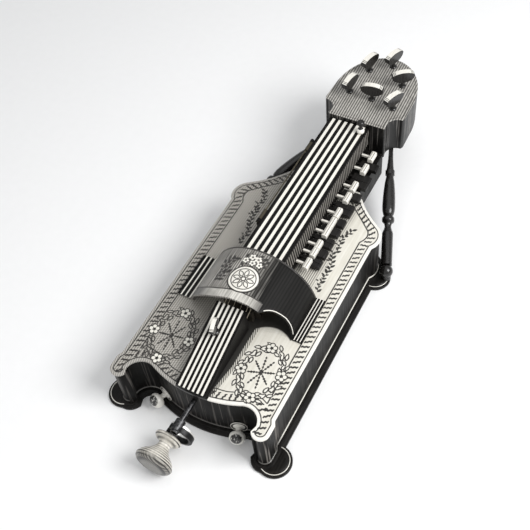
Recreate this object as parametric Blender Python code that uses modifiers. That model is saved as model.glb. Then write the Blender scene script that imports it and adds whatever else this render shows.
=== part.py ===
"""A hurdy-gurdy lying on its back: lobed box body, cranked wheel, keybox and pegbox.

Metres, +Z up. The origin is on the underside of the back plate, under the middle of
the straight sides. +Y runs along the strings towards the pegs, and +X is the key side.
"""

import math

import bmesh
import bpy
from mathutils import Matrix, Vector

# Fits
GAP = 0.0003
CUT_OVERRUN = 0.004
MERGE = 0.00001

# Body outline, half of it, from the tail to the neck
BODY_HALF_WIDTH = 0.125
STRAIGHT_HALF = 0.151
TAIL_Y = -0.173
HORN_INSET = 0.010
HORN_DROP = 0.008
HORN_RADIUS = 0.0135
HORN_START = 205.0
HORN_SIDE = 0.016
BAY_RADIUS = 0.024
BAY_DROP = 0.007
BAY_LIP = 0.003
BAY_START = 119.0
BAY_END = 8.0
SHOULDER_INSET = 0.0235
SHOULDER_RISE = 0.034
SHOULDER_RADIUS = 0.030
NECK_HALF_WIDTH = 0.062
NECK_RISE = 0.080
NECK_LENGTH = 0.095
OGEE_DEPTH = 0.004


def on_circle(centre, radius, degrees):
    """A point on a circle, at an angle from +X."""
    angle = math.radians(degrees)
    return centre[0] + radius * math.cos(angle), centre[1] + radius * math.sin(angle)


HORN = (BODY_HALF_WIDTH - HORN_INSET, TAIL_Y - HORN_DROP)
BAY = (on_circle(HORN, HORN_RADIUS, HORN_START)[0] + BAY_LIP
       - on_circle((0, 0), BAY_RADIUS, BAY_END)[0], TAIL_Y - BAY_DROP)
BULGE_END = on_circle(BAY, BAY_RADIUS, BAY_START)
TAIL_BULGE_HALF = BULGE_END[0] - GAP
TAIL_BULGE_SAGITTA = BULGE_END[1] - GAP / 2 - TAIL_Y
SHOULDER = (BODY_HALF_WIDTH - SHOULDER_INSET, STRAIGHT_HALF + SHOULDER_RISE)
NECK_Y = SHOULDER[1] + NECK_RISE
HEAD_Y = NECK_Y + NECK_LENGTH

# Wheel and axle. The wheel stands clear of the back and comes up through the table.
WHEEL_Y = 0.005
WHEEL_RADIUS = 0.056
WHEEL_THICKNESS = 0.016
WHEEL_CLEARANCE = 0.002
WHEEL_PROUD = 0.030
WHEEL_SLOT_MARGIN = 0.005
AXLE_RADIUS = 0.004
AXLE_NUT_RADIUS = 0.006
AXLE_NUT_LENGTH = 0.003

# Body heights and boards
PLINTH_HEIGHT = 0.005
MOULDING_HEIGHT = 0.008
AXLE_Z = MOULDING_HEIGHT + WHEEL_CLEARANCE + WHEEL_RADIUS
TABLE_TOP = AXLE_Z + WHEEL_RADIUS - WHEEL_PROUD
TABLE_THICKNESS = 0.004
TABLE_OVERHANG = 0.003
WALL_THICKNESS = 0.0035
PLINTH_OVERHANG = 0.011
MOULDING_OVERHANG = 0.006
FOOT_OUTSET = 0.003
FOOT_TAIL_DROP = 0.005
FOOT_HEAD_RISE = 0.028
FOOT_RADIUS = 0.026
FOOT_STEP = 0.005
FOOT_LIFT = 0.0005
FOOT_X = BODY_HALF_WIDTH + FOOT_OUTSET
FOOT_TAIL_Y = TAIL_Y - FOOT_TAIL_DROP
FOOT_HEAD_Y = STRAIGHT_HALF + FOOT_HEAD_RISE

# Blocks inside the body
TAIL_BLOCK_HALF = 0.030
TAIL_BLOCK_LENGTH = 0.024
BRACE_BEHIND_WHEEL = 0.011
BRACE_THICKNESS = 0.012
BRACE_Y = WHEEL_Y + WHEEL_THICKNESS / 2 + BRACE_BEHIND_WHEEL
NECK_LEFT = -0.038
NECK_DEPTH = 0.046

# Crank
CRANK_REACH = 0.040
CRANK_WIDTH = 0.011
CRANK_THICKNESS = 0.005
CRANK_RADIUS = 0.020
CRANK_BOSS = 0.001
CRANK_HUB_RADIUS = 0.0075
CRANK_EYE_RADIUS = 0.0065
PIN_RADIUS = 0.0035
PIN_HEAD_RADIUS = 0.007
PIN_HEAD_LENGTH = 0.0025
KNOB_LENGTH = 0.050
KNOB_RADIUS = 0.029

# Wheel cover
COVER_RISE = 0.067
COVER_HALF_CHORD = 0.082
COVER_HALF_WIDTH = 0.105
COVER_LENGTH = 0.080
COVER_BEHIND_WHEEL = 0.039
COVER_THICKNESS = 0.003
COVER_APRON = 0.014
COVER_X = 0.005
COVER_HEAD_Y = WHEEL_Y + COVER_BEHIND_WHEEL
COVER_TAIL_Y = COVER_HEAD_Y - COVER_LENGTH

# Keybox and its lid
KEYBOX_HALF_WIDTH = 0.035
KEYBOX_WALL = 0.004
KEYBOX_SETBACK = 0.003
KEYBOX_HEIGHT = 0.046
KEYBOX_HEAD_BLOCK = 0.014
KEYBOX_START_Y = COVER_HEAD_Y + KEYBOX_SETBACK
KEYBOX_TOP = TABLE_TOP + KEYBOX_HEIGHT
LID_THICKNESS = 0.004
LID_KNOB_INSET = 0.008
LID_KNOB_SETBACK = 0.014
LID_KNOB_HEIGHT = 0.026
LID_KNOB_RADIUS = 0.0065
HINGE_OUTSET = 0.0036
HINGE_PIN_RADIUS = 0.0012
HINGE_LUG_RADIUS = 0.0032
HINGE_LUG_LENGTH = 0.006
HINGE_KNUCKLE_RADIUS = 0.0028
HINGE_KNUCKLE_LENGTH = 0.020
HINGE_LUG_DEPTH = 0.010

# Strings, from left to right: two drones, two melody strings, two drones
STRING_X = (-0.021, -0.015, -0.0055, 0.0055, 0.015, 0.020)
STRING_RADIUS = (0.0008, 0.0006, 0.0004, 0.0004, 0.0006, 0.0006)
STRING_NAMES = ("string_great_drone", "string_small_drone", "string_melody_left",
                "string_melody_right", "string_fly", "string_trumpet")
BRIDGE_BEFORE_WHEEL = 0.027
BRIDGE_THICKNESS = 0.003
BRIDGE_HALF_FOOT = 0.032
BRIDGE_HALF_TOP = 0.026
BRIDGE_Y = WHEEL_Y - BRIDGE_BEFORE_WHEEL
STRING_LIFT = 0.0012
TAIL_STRING_RISE = 0.019
TAIL_STRING_Z = TABLE_TOP + TAIL_STRING_RISE
NUT_SETBACK = 0.010
NUT_THICKNESS = 0.004
NUT_HEIGHT = 0.0045
NUT_RISE = 0.0285
NUT_Y = HEAD_Y - NUT_SETBACK
NUT_TOP = TABLE_TOP + NUT_RISE
DOG_BEFORE_BRIDGE = 0.008
DOG_LENGTH = 0.006
DOG_WIDTH = 0.007
DOG_Y = BRIDGE_Y - DOG_BEFORE_BRIDGE

# Tailpiece and its little peg
TAILPIECE_HALF_WIDTH = 0.024
TAILPIECE_INSET = 0.0015
TAILPIECE_BEFORE_BRIDGE = 0.024
TAILPIECE_LOW = 0.006
TAILPIECE_HIGH = 0.046
TAILPIECE_START_Y = TAIL_Y + TAILPIECE_INSET
TAILPIECE_END_Y = BRIDGE_Y - TAILPIECE_BEFORE_BRIDGE
TIRANT_SETBACK = 0.042
TIRANT_X = -0.004
TIRANT_Y = TAILPIECE_END_Y - TIRANT_SETBACK

# Keys: one for each semitone above the open string, closer together near the wheel
KEY_COUNT = 23
RAISED_KEYS = (1, 3, 6, 8, 11, 13, 15, 18, 20, 23)
KEY_FIRST_SETBACK = 0.029
KEY_LAST_SETBACK = 0.0388
KEY_PITCH_SHARE = 0.965
KEY_FIRST_Y = HEAD_Y - KEY_FIRST_SETBACK
KEY_LAST_Y = KEYBOX_START_Y + KEY_LAST_SETBACK
KEY_TRAVEL = 0.004
KEY_SHAFT_WIDTH = 0.0035
KEY_SHAFT_HEIGHT = 0.0045
NATURAL_SHAFT_RISE = 0.0065
RAISED_ABOVE_NATURAL = 0.0065
NATURAL_HEAD_MOST = 0.015
NATURAL_HEAD_REACH = 0.037
NATURAL_HEAD_UNDER = 0.002
NATURAL_HEAD_HEIGHT = 0.0077
RAISED_HEAD_MOST = 0.020
RAISED_HEAD_START = 0.015
RAISED_HEAD_LENGTH = 0.009
RAISED_HEAD_HEIGHT = 0.008
KEY_SPACING = 0.0006
TANGENT_RADIUS = 0.0011
TANGENT_LENGTH = 0.026
NATURAL_SHAFT_Z = TABLE_TOP + NATURAL_SHAFT_RISE
RAISED_SHAFT_Z = NATURAL_SHAFT_Z + RAISED_ABOVE_NATURAL
TANGENT_TOP = NATURAL_SHAFT_Z + TANGENT_LENGTH

# Pegbox and pegs
HEAD_X = 0.012
HEAD_FRONT_HALF = 0.050
HEAD_NOTCH_X = 0.0695
HEAD_NOTCH_RISE = 0.011
HEAD_NOTCH_RADIUS = 0.020
HEAD_EAR_OUT = 0.0025
HEAD_EAR_LENGTH = 0.005
HEAD_HALF_WIDTH = 0.071
HEAD_WIDEST_RISE = 0.070
HEAD_LENGTH = 0.170
HEAD_BELOW_TABLE = 0.008
HEAD_DEPTH = 0.066
HEAD_FACE = 0.010
HEAD_RIM = 0.014
HEAD_WINDOW_HALF = 0.034
HEAD_WINDOW_BELOW = 0.0085
HEAD_WINDOW_ABOVE = 0.0075
HEAD_LOW = TABLE_TOP - HEAD_BELOW_TABLE
HEAD_TOP = HEAD_LOW + HEAD_DEPTH
PEG_RADIUS = 0.004
PEG_DEPTH = 0.040
PEG_COLLAR_RADIUS = 0.006
PEG_COLLAR_HEIGHT = 0.003
PEG_STEM = 0.011
PEG_STEM_RADIUS = 0.003
PADDLE_WIDTH = 0.039
PADDLE_HEIGHT = 0.021
PADDLE_THICKNESS = 0.010
TIRANT_SHARE = 0.70
PEG_TIP_Z = HEAD_TOP - PEG_DEPTH

# Where the pegs stand, as shares of the head's half width and of its length inside its rim
PEG_SHARES = ((-0.55, 0.338), (0.045, 0.310), (0.63, 0.254), (-0.42, 0.782), (0.53, 0.668),
              (0.06, 0.955))
PEG_TURNS = (80.0, 8.0, 66.0, 74.0, 35.0, 71.0)
TIRANT_TURN = 105.0

# Struts between the pegbox and the feet at the head end
STRUT_BALL_OUTSET = 0.020
STRUT_BALL_RISE = 0.005
STRUT_BALL_Z = 0.022
STRUT_BALL_RADIUS = 0.011
STRUT_POST_RADIUS = 0.008
STRUT_HEAD_X = 0.054
STRUT_HEAD_RISE = 0.028
STRUT_RADIUS = 0.0105
STRUT_BALL_X = BODY_HALF_WIDTH + STRUT_BALL_OUTSET
STRUT_BALL_Y = FOOT_HEAD_Y + STRUT_BALL_RISE
STRUT_HEAD_Y = HEAD_Y + STRUT_HEAD_RISE

# Strap buttons
BUTTON_INSET = 0.008
BUTTON_BELOW_AXLE = 0.045
BUTTON_RADIUS = 0.012
BUTTON_LENGTH = 0.028
BUTTON_X = TAIL_BULGE_HALF - BUTTON_INSET
BUTTON_Z = AXLE_Z - BUTTON_BELOW_AXLE

# Fineness
ROUND_SIDES = 24
SMALL_SIDES = 12
WHEEL_SIDES = 48
ARC_STEPS = 10

AXIS_Y = Vector((0, 1, 0))


def start_scene():
    """An empty scene with one collection for the parts and one for the cutters."""
    for old in list(bpy.data.objects):
        bpy.data.objects.remove(old)
    parts = bpy.data.collections.new("hurdy_gurdy")
    tools = bpy.data.collections.new("cutters")
    bpy.context.scene.collection.children.link(parts)
    bpy.context.scene.collection.children.link(tools)
    return parts, tools


PARTS, TOOLS = start_scene()


def finish(name, colour, roughness, metallic=0.0):
    """A Principled material with the colour of one of the instrument's finishes."""
    made = bpy.data.materials.new(name)
    made.use_nodes = True
    shader = made.node_tree.nodes["Principled BSDF"]
    shader.inputs["Base Color"].default_value = (*colour, 1.0)
    shader.inputs["Roughness"].default_value = roughness
    shader.inputs["Metallic"].default_value = metallic
    made.diffuse_color = (*colour, 1.0)
    return made


EBONY = finish("ebony", (0.025, 0.022, 0.020), 0.35)
IVORY = finish("ivory", (0.86, 0.83, 0.74), 0.35)
SPRUCE = finish("pale_spruce", (0.82, 0.78, 0.68), 0.5)
DARK_WOOD = finish("dark_side_wood", (0.055, 0.045, 0.040), 0.4)
GREY_WOOD = finish("grey_brown_wood", (0.30, 0.28, 0.25), 0.5)
BLOCK_WOOD = finish("plain_block_wood", (0.55, 0.45, 0.32), 0.6)
IRON = finish("black_iron", (0.05, 0.05, 0.052), 0.35, 0.9)
BRASS = finish("brass", (0.70, 0.56, 0.30), 0.35, 0.9)
GUT = finish("gut", (0.80, 0.72, 0.55), 0.5)
BOXWOOD = finish("boxwood", (0.78, 0.70, 0.55), 0.4)


def place(name, mesh, material, tool=False):
    """An object for a mesh, among the parts, or among the cutters and shown as wire."""
    made = bpy.data.objects.new(name, mesh)
    mesh.materials.clear()
    mesh.materials.append(material)
    (TOOLS if tool else PARTS).objects.link(made)
    if tool:
        made.hide_render = True
        made.display_type = "WIRE"
    else:
        mesh.shade_smooth()
        mesh.set_sharp_from_angle(angle=math.radians(35.0))
    return made


def box(name, low, high, material, tool=False):
    """A block between its lowest and its highest corner."""
    shape = bmesh.new()
    bmesh.ops.create_cube(shape, size=1.0)
    size = [b - a for a, b in zip(low, high)]
    middle = [(a + b) / 2 for a, b in zip(low, high)]
    bmesh.ops.scale(shape, vec=size, verts=shape.verts)
    bmesh.ops.translate(shape, vec=middle, verts=shape.verts)
    mesh = bpy.data.meshes.new(name)
    shape.to_mesh(mesh)
    shape.free()
    return place(name, mesh, material, tool)


def rod(name, radius, start, end, material, sides=ROUND_SIDES, tool=False):
    """A round rod from one point to another."""
    start, end = Vector(start), Vector(end)
    run = end - start
    shape = bmesh.new()
    bmesh.ops.create_cone(shape, cap_ends=True, segments=sides, radius1=radius,
                          radius2=radius, depth=run.length)
    turn = Vector((0, 0, 1)).rotation_difference(run).to_matrix().to_4x4()
    bmesh.ops.transform(shape, matrix=Matrix.Translation((start + end) / 2) @ turn,
                        verts=shape.verts)
    mesh = bpy.data.meshes.new(name)
    shape.to_mesh(mesh)
    shape.free()
    return place(name, mesh, material, tool)


def ball(name, radius, centre, material, tool=False):
    """A sphere of a few faces."""
    shape = bmesh.new()
    bmesh.ops.create_uvsphere(shape, u_segments=ROUND_SIDES, v_segments=SMALL_SIDES,
                              radius=radius)
    bmesh.ops.translate(shape, vec=centre, verts=shape.verts)
    mesh = bpy.data.meshes.new(name)
    shape.to_mesh(mesh)
    shape.free()
    return place(name, mesh, material, tool)


def turned(name, profile, foot, direction, material, sides=ROUND_SIDES, tool=False):
    """A lathe shape: (distance from the foot, radius) pairs, closed onto the axis."""
    run = [(0.0, profile[0][0])] + [(r, z) for z, r in profile] + [(0.0, profile[-1][0])]
    if profile[0][1] == 0.0:
        run = run[1:]
    if profile[-1][1] == 0.0:
        run = run[:-1]
    mesh = bpy.data.meshes.new(name)
    points = [(r, 0.0, z) for r, z in reversed(run)]
    mesh.from_pydata(points, [(i, i + 1) for i in range(len(points) - 1)], [])
    made = place(name, mesh, material, tool)
    turn = made.modifiers.new("lathe", "SCREW")
    turn.steps = turn.render_steps = sides
    turn.use_merge_vertices = True
    turn.merge_threshold = MERGE
    made.location = foot
    made.rotation_mode = "QUATERNION"
    made.rotation_quaternion = Vector((0, 0, 1)).rotation_difference(Vector(direction))
    return made


def plate(name, outline, low, high, material, turn=None, tool=False):
    """A flat outline extruded from one height to another, then turned if asked."""
    curve = bpy.data.curves.new(name, "CURVE")
    curve.dimensions = "2D"
    curve.fill_mode = "BOTH"
    curve.extrude = (high - low) / 2
    line = curve.splines.new("POLY")
    line.points.add(len(outline) - 1)
    for point, (x, y) in zip(line.points, outline):
        point.co = (x, y, 0.0, 1.0)
    line.use_cyclic_u = True
    drawn = bpy.data.objects.new(name + "_outline", curve)
    PARTS.objects.link(drawn)
    graph = bpy.context.evaluated_depsgraph_get()
    mesh = bpy.data.meshes.new_from_object(drawn.evaluated_get(graph))
    mesh.name = name
    shape = bmesh.new()
    shape.from_mesh(mesh)
    bmesh.ops.remove_doubles(shape, verts=shape.verts, dist=MERGE)
    bmesh.ops.recalc_face_normals(shape, faces=shape.faces)
    move = Matrix.Translation((0, 0, (high + low) / 2))
    bmesh.ops.transform(shape, matrix=(turn or Matrix()) @ move, verts=shape.verts)
    shape.to_mesh(mesh)
    shape.free()
    bpy.data.objects.remove(drawn)
    return place(name, mesh, material, tool)


def centre_on(made, point):
    """Moves an object's origin to a point of its joint's axis, with the shape left in place."""
    made.data.transform(Matrix.Translation(-Vector(point)))
    made.location = point


def combine(target, other, how):
    step = target.modifiers.new(how.lower(), "BOOLEAN")
    step.operation = how
    step.object = other


def cut(target, cutter):
    combine(target, cutter, "DIFFERENCE")


def join(target, other):
    combine(target, other, "UNION")


def arc(centre, radius, start, end, steps=ARC_STEPS):
    """Points round a circle between two angles in degrees, ends included."""
    for i in range(steps + 1):
        yield on_circle(centre, radius, start + (end - start) * i / steps)


def mirrored(half):
    """A closed outline from its right half, which starts and ends near the middle."""
    left = [(-x, y) for x, y in reversed(half) if x > MERGE]
    return list(half) + left


def bulge_circle():
    """Centre and radius of the round tail edge."""
    radius = (TAIL_BULGE_HALF ** 2 + TAIL_BULGE_SAGITTA ** 2) / (2 * TAIL_BULGE_SAGITTA)
    return TAIL_Y + radius, radius


def body_half_outline():
    """The right half of the table's edge, from the middle of the tail to the neck."""
    centre_y, radius = bulge_circle()
    widest = math.degrees(math.asin(TAIL_BULGE_HALF / radius))
    points = list(arc((0, centre_y), radius, -90, -90 + widest, ARC_STEPS // 2))
    points += list(arc(BAY, BAY_RADIUS, BAY_START, BAY_END, ARC_STEPS))
    points += list(arc(HORN, HORN_RADIUS, HORN_START, 360, ARC_STEPS))
    step_in = HORN[0] + HORN_RADIUS - BODY_HALF_WIDTH
    points.append((BODY_HALF_WIDTH + step_in, HORN[1] + HORN_SIDE))
    points.append((BODY_HALF_WIDTH, HORN[1] + HORN_SIDE + 2 * step_in))
    points.append((BODY_HALF_WIDTH, STRAIGHT_HALF))
    points += list(arc(SHOULDER, SHOULDER_RADIUS, -38, 58, ARC_STEPS))
    points += ogee(points[-1], (NECK_HALF_WIDTH, NECK_Y))
    return points


def ogee(start, end):
    """The hollow curve that brings the shoulder in to the neck."""
    run = Vector(end) - Vector(start)
    side = Vector((-run.y, run.x)).normalized()
    made = []
    for i in range(1, ARC_STEPS // 2 + 1):
        share = i / (ARC_STEPS // 2)
        hollow = side * OGEE_DEPTH * math.sin(math.pi * share)
        made.append(tuple(Vector(start) + run * share + hollow))
    return made


def grown(outline, distance):
    """The outline moved outwards by a distance, inwards where that is negative."""
    made = []
    count = len(outline)
    for i, here in enumerate(outline):
        before = Vector(outline[i - 1])
        after = Vector(outline[(i + 1) % count])
        first = (Vector(here) - before).normalized()
        second = (after - Vector(here)).normalized()
        normal = Vector((first.y + second.y, -first.x - second.x)).normalized()
        mitre = max(normal.dot(Vector((first.y, -first.x))), 0.5)
        made.append(tuple(Vector(here) + normal * distance / mitre))
    return made


BODY_OUTLINE = mirrored(body_half_outline())


def back_plate():
    """The moulded plate under the body, with a round foot at each corner."""
    made = plate("back_plate", grown(BODY_OUTLINE, PLINTH_OVERHANG - TABLE_OVERHANG), 0.0,
                 PLINTH_HEIGHT, DARK_WOOD)
    step = plate("back_plate_step", grown(BODY_OUTLINE, MOULDING_OVERHANG - TABLE_OVERHANG),
                 PLINTH_HEIGHT / 2, MOULDING_HEIGHT, DARK_WOOD, tool=True)
    join(made, step)
    for side in (-1, 1):
        for y in (FOOT_TAIL_Y, FOOT_HEAD_Y):
            profile = [(FOOT_LIFT, FOOT_RADIUS), (PLINTH_HEIGHT - FOOT_LIFT, FOOT_RADIUS),
                       (PLINTH_HEIGHT - FOOT_LIFT, FOOT_RADIUS - FOOT_STEP),
                       (MOULDING_HEIGHT - FOOT_LIFT, FOOT_RADIUS - FOOT_STEP)]
            join(made, turned(f"foot_{side}_{y}", profile, (side * FOOT_X, y, 0.0),
                              (0, 0, 1), DARK_WOOD, tool=True))
        start = -math.degrees(math.acos(STRUT_POST_RADIUS / STRUT_BALL_RADIUS))
        post = [(PLINTH_HEIGHT / 2, STRUT_POST_RADIUS)]
        post += [(z, r) for r, z in arc((0, STRUT_BALL_Z), STRUT_BALL_RADIUS, start, 81,
                                        SMALL_SIDES - 2)]
        post.append((STRUT_BALL_Z + STRUT_BALL_RADIUS, 0.0))
        join(made, turned(f"strut_post_{side}", post, (side * STRUT_BALL_X, STRUT_BALL_Y, 0.0),
                          (0, 0, 1), DARK_WOOD, tool=True))


def side_wall():
    """The dark wall that follows the lobes, as one bent board."""
    outline = grown(BODY_OUTLINE, -TABLE_OVERHANG)
    low, high = MOULDING_HEIGHT + GAP, TABLE_TOP - TABLE_THICKNESS - GAP
    shape = bmesh.new()
    ring = [shape.verts.new((x, y, low)) for x, y in outline]
    edges = [shape.edges.new((ring[i - 1], ring[i])) for i in range(len(ring))]
    grown_up = bmesh.ops.extrude_edge_only(shape, edges=edges)["geom"]
    lifted = [part for part in grown_up if isinstance(part, bmesh.types.BMVert)]
    bmesh.ops.translate(shape, vec=(0, 0, high - low), verts=lifted)
    bmesh.ops.recalc_face_normals(shape, faces=shape.faces)
    mesh = bpy.data.meshes.new("side_wall")
    shape.to_mesh(mesh)
    shape.free()
    made = place("side_wall", mesh, DARK_WOOD)
    wall = made.modifiers.new("wall", "SOLIDIFY")
    wall.thickness = WALL_THICKNESS
    wall.offset = -1.0
    wall.use_even_offset = True
    cut(made, rod("axle_way", AXLE_RADIUS + 5 * GAP, (0, TAIL_Y - CUT_OVERRUN, AXLE_Z),
                  (0, TAIL_Y + TAIL_BLOCK_LENGTH, AXLE_Z), IRON, tool=True))


def soundboard():
    """The table, with the slot that the wheel comes up through."""
    made = plate("soundboard", BODY_OUTLINE, TABLE_TOP - TABLE_THICKNESS, TABLE_TOP, SPRUCE)
    half_chord = math.sqrt(WHEEL_RADIUS ** 2 - (TABLE_TOP - TABLE_THICKNESS - AXLE_Z) ** 2)
    reach = half_chord + WHEEL_SLOT_MARGIN
    half = WHEEL_THICKNESS / 2 + WHEEL_SLOT_MARGIN / 2
    cut(made, box("wheel_slot", (-reach, WHEEL_Y - half, TABLE_TOP - 2 * TABLE_THICKNESS),
                  (reach, WHEEL_Y + half, TABLE_TOP + TABLE_THICKNESS), SPRUCE, tool=True))


def body_blocks():
    """The tail block and the cross brace that carry the axle, and the neck."""
    low, high = MOULDING_HEIGHT + GAP, TABLE_TOP - TABLE_THICKNESS - GAP
    centre_y, radius = bulge_circle()
    inner = radius - TABLE_OVERHANG - WALL_THICKNESS - GAP
    face_y = centre_y - math.sqrt(inner ** 2 - TAIL_BLOCK_HALF ** 2)
    tail = box("tail_block", (-TAIL_BLOCK_HALF, face_y, low),
               (TAIL_BLOCK_HALF, face_y + TAIL_BLOCK_LENGTH, high), BLOCK_WOOD)
    inside = BODY_HALF_WIDTH - TABLE_OVERHANG - WALL_THICKNESS - GAP
    brace = box("wheel_brace", (-inside, BRACE_Y, low),
                (inside, BRACE_Y + BRACE_THICKNESS, high), BLOCK_WOOD)
    bore = rod("axle_bore", AXLE_RADIUS + GAP, (0, TAIL_Y, AXLE_Z),
               (0, BRACE_Y + BRACE_THICKNESS + CUT_OVERRUN, AXLE_Z), IRON, tool=True)
    cut(tail, bore)
    cut(brace, bore)
    neck = box("neck_block", (NECK_LEFT, NECK_Y - TABLE_OVERHANG + GAP,
                              TABLE_TOP - NECK_DEPTH),
               (NECK_HALF_WIDTH, HEAD_Y - GAP, high), DARK_WOOD)
    join(neck, box("neck_top", (NECK_LEFT, NECK_Y + GAP, high - GAP),
                   (NECK_HALF_WIDTH, HEAD_Y - GAP, TABLE_TOP), DARK_WOOD, tool=True))


def wheel_and_axle():
    """The rosined wheel on its axle, which runs out through the tail."""
    half = WHEEL_THICKNESS / 2
    wheel = rod("wheel", WHEEL_RADIUS, (0, WHEEL_Y - half, AXLE_Z), (0, WHEEL_Y + half, AXLE_Z),
                BLOCK_WOOD, WHEEL_SIDES)
    cut(wheel, rod("wheel_bore", AXLE_RADIUS + GAP, (0, WHEEL_Y - 2 * half, AXLE_Z),
                   (0, WHEEL_Y + 2 * half, AXLE_Z), IRON, tool=True))
    centre_on(wheel, (0, WHEEL_Y, AXLE_Z))
    outer = CRANK_FACE_Y - GAP
    axle = rod("axle", AXLE_RADIUS, (0, outer - GAP, AXLE_Z),
               (0, BRACE_Y + BRACE_THICKNESS, AXLE_Z), IRON)
    join(axle, rod("axle_nut", AXLE_NUT_RADIUS, (0, outer - AXLE_NUT_LENGTH, AXLE_Z),
                   (0, outer, AXLE_Z), IRON, SMALL_SIDES, tool=True))
    centre_on(axle, (0, WHEEL_Y, AXLE_Z))


CRANK_Y = TAIL_Y + TABLE_OVERHANG - CRANK_REACH - CRANK_WIDTH / 2
PIN_ANGLE = -140.0
PIN_X = CRANK_RADIUS * math.cos(math.radians(PIN_ANGLE))
PIN_Z = AXLE_Z - CRANK_RADIUS + CRANK_RADIUS * math.sin(math.radians(PIN_ANGLE))
CRANK_FACE_Y = CRANK_Y - CRANK_WIDTH / 2 - CRANK_BOSS
KNOB_START_Y = CRANK_FACE_Y - 2 * GAP


def crank():
    """The flat iron bent to a C, with the pin that the handle turns on."""
    half = CRANK_THICKNESS / 2
    centre = (0, AXLE_Z - CRANK_RADIUS)
    outside = list(arc(centre, CRANK_RADIUS + half, 122, -168, 2 * ARC_STEPS))
    inside = list(arc(centre, CRANK_RADIUS - half, -168, 122, 2 * ARC_STEPS))
    upright = Matrix.Rotation(math.radians(90.0), 4, "X")
    made = plate("crank_arm", outside + inside, -CRANK_Y - CRANK_WIDTH / 2,
                 -CRANK_Y + CRANK_WIDTH / 2, IRON, upright)
    inner = CRANK_Y + CRANK_WIDTH / 2
    join(made, rod("crank_hub", CRANK_HUB_RADIUS, (0, CRANK_FACE_Y, AXLE_Z),
                   (0, inner + CRANK_THICKNESS, AXLE_Z), IRON, ROUND_SIDES, tool=True))
    join(made, rod("crank_eye", CRANK_EYE_RADIUS, (PIN_X, CRANK_FACE_Y, PIN_Z),
                   (PIN_X, inner + CRANK_BOSS, PIN_Z), IRON, ROUND_SIDES, tool=True))
    pin_end = KNOB_START_Y - KNOB_LENGTH - GAP
    join(made, rod("handle_pin", PIN_RADIUS, (PIN_X, CRANK_Y, PIN_Z),
                   (PIN_X, pin_end - PIN_HEAD_LENGTH, PIN_Z), IRON, SMALL_SIDES, tool=True))
    join(made, rod("pin_head", PIN_HEAD_RADIUS, (PIN_X, pin_end, PIN_Z),
                   (PIN_X, pin_end - PIN_HEAD_LENGTH, PIN_Z), IRON, ROUND_SIDES, tool=True))
    cut(made, rod("hub_bore", AXLE_RADIUS + GAP, (0, CRANK_Y - CRANK_WIDTH, AXLE_Z),
                  (0, CRANK_Y + 2 * CRANK_WIDTH, AXLE_Z), IRON, ROUND_SIDES, tool=True))
    centre_on(made, (0, CRANK_Y, AXLE_Z))


# Distance from the crank as a share of the knob's length, radius as a share of its own
KNOB_SHARES = ((0.0, 0.62), (0.03, 0.70), (0.09, 0.71), (0.13, 0.60), (0.16, 0.42),
               (0.24, 0.33), (0.36, 0.35), (0.48, 0.50), (0.60, 0.74), (0.72, 0.93),
               (0.82, 1.0), (0.89, 0.97), (0.96, 0.80), (1.0, 0.46))


def handle_knob():
    """The turned knob that spins on the crank's pin."""
    profile = [(a * KNOB_LENGTH, b * KNOB_RADIUS) for a, b in KNOB_SHARES]
    made = turned("handle_knob", profile, (PIN_X, KNOB_START_Y, PIN_Z), -AXIS_Y, BOXWOOD,
                  ROUND_SIDES + 4)
    cut(made, rod("knob_bore", PIN_RADIUS + GAP, (PIN_X, KNOB_START_Y + CUT_OVERRUN, PIN_Z),
                  (PIN_X, KNOB_START_Y - KNOB_LENGTH - CUT_OVERRUN, PIN_Z), IRON,
                  SMALL_SIDES, tool=True))


# The cover's front edge from the right flange (0) over the top to the left one (1): how
# far it stands out, as a share of the apron. It is hollowed on the key side.
COVER_EDGE_SHARES = ((0.0, 0.0), (0.03, -0.30), (0.055, -0.48), (0.10, -0.66), (0.15, -0.70),
                     (0.20, -0.52), (0.245, -0.28), (0.28, 0.10), (0.31, 0.62), (0.325, 0.82),
                     (0.40, 0.80), (0.50, 0.89), (0.53, 0.93), (0.63, 1.18), (0.72, 1.14),
                     (0.82, 0.86), (0.91, 0.43), (1.0, 0.0))


def between(table, place):
    """A value read from a table of pairs, on the straight line between its neighbours."""
    for (before, low), (after, high) in zip(table, table[1:]):
        if place <= after:
            return low + (high - low) * (place - before) / (after - before)
    return table[-1][1]


def wheel_cover():
    """The arched sheet over the wheel, with a flat flange along each foot."""
    radius = (COVER_HALF_CHORD ** 2 + COVER_RISE ** 2) / (2 * COVER_RISE)
    foot_z = TABLE_TOP + GAP
    centre_z = foot_z + COVER_RISE - radius
    widest = math.degrees(math.asin((centre_z - foot_z) / radius))
    steps = 3 * ARC_STEPS
    arch = list(arc((COVER_X, centre_z), radius, -widest, 180 + widest, steps))
    path = [(COVER_HALF_WIDTH, foot_z)] + arch + [(-COVER_HALF_WIDTH, foot_z)]
    shape = bmesh.new()
    rows = []
    for i, (x, z) in enumerate(path):
        along = min(max(i - 1, 0), steps) / steps
        out = between(COVER_EDGE_SHARES, along)
        front = COVER_TAIL_Y - COVER_APRON * out
        rows.append([shape.verts.new((x, y, z)) for y in (front, COVER_HEAD_Y)])
    for first, second in zip(rows, rows[1:]):
        shape.faces.new((first[0], second[0], second[1], first[1]))
    bmesh.ops.recalc_face_normals(shape, faces=shape.faces)
    mesh = bpy.data.meshes.new("wheel_cover")
    shape.to_mesh(mesh)
    shape.free()
    made = place("wheel_cover", mesh, DARK_WOOD)
    sheet = made.modifiers.new("sheet", "SOLIDIFY")
    sheet.thickness = COVER_THICKNESS
    sheet.offset = 1.0
    sheet.use_even_offset = True


def key_y(number):
    """Where a key stops the strings. Each step is a little shorter than the one before."""
    done, whole = (1 - KEY_PITCH_SHARE ** steps for steps in (number - 1, KEY_COUNT - 1))
    return KEY_FIRST_Y + (KEY_LAST_Y - KEY_FIRST_Y) * done / whole


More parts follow.
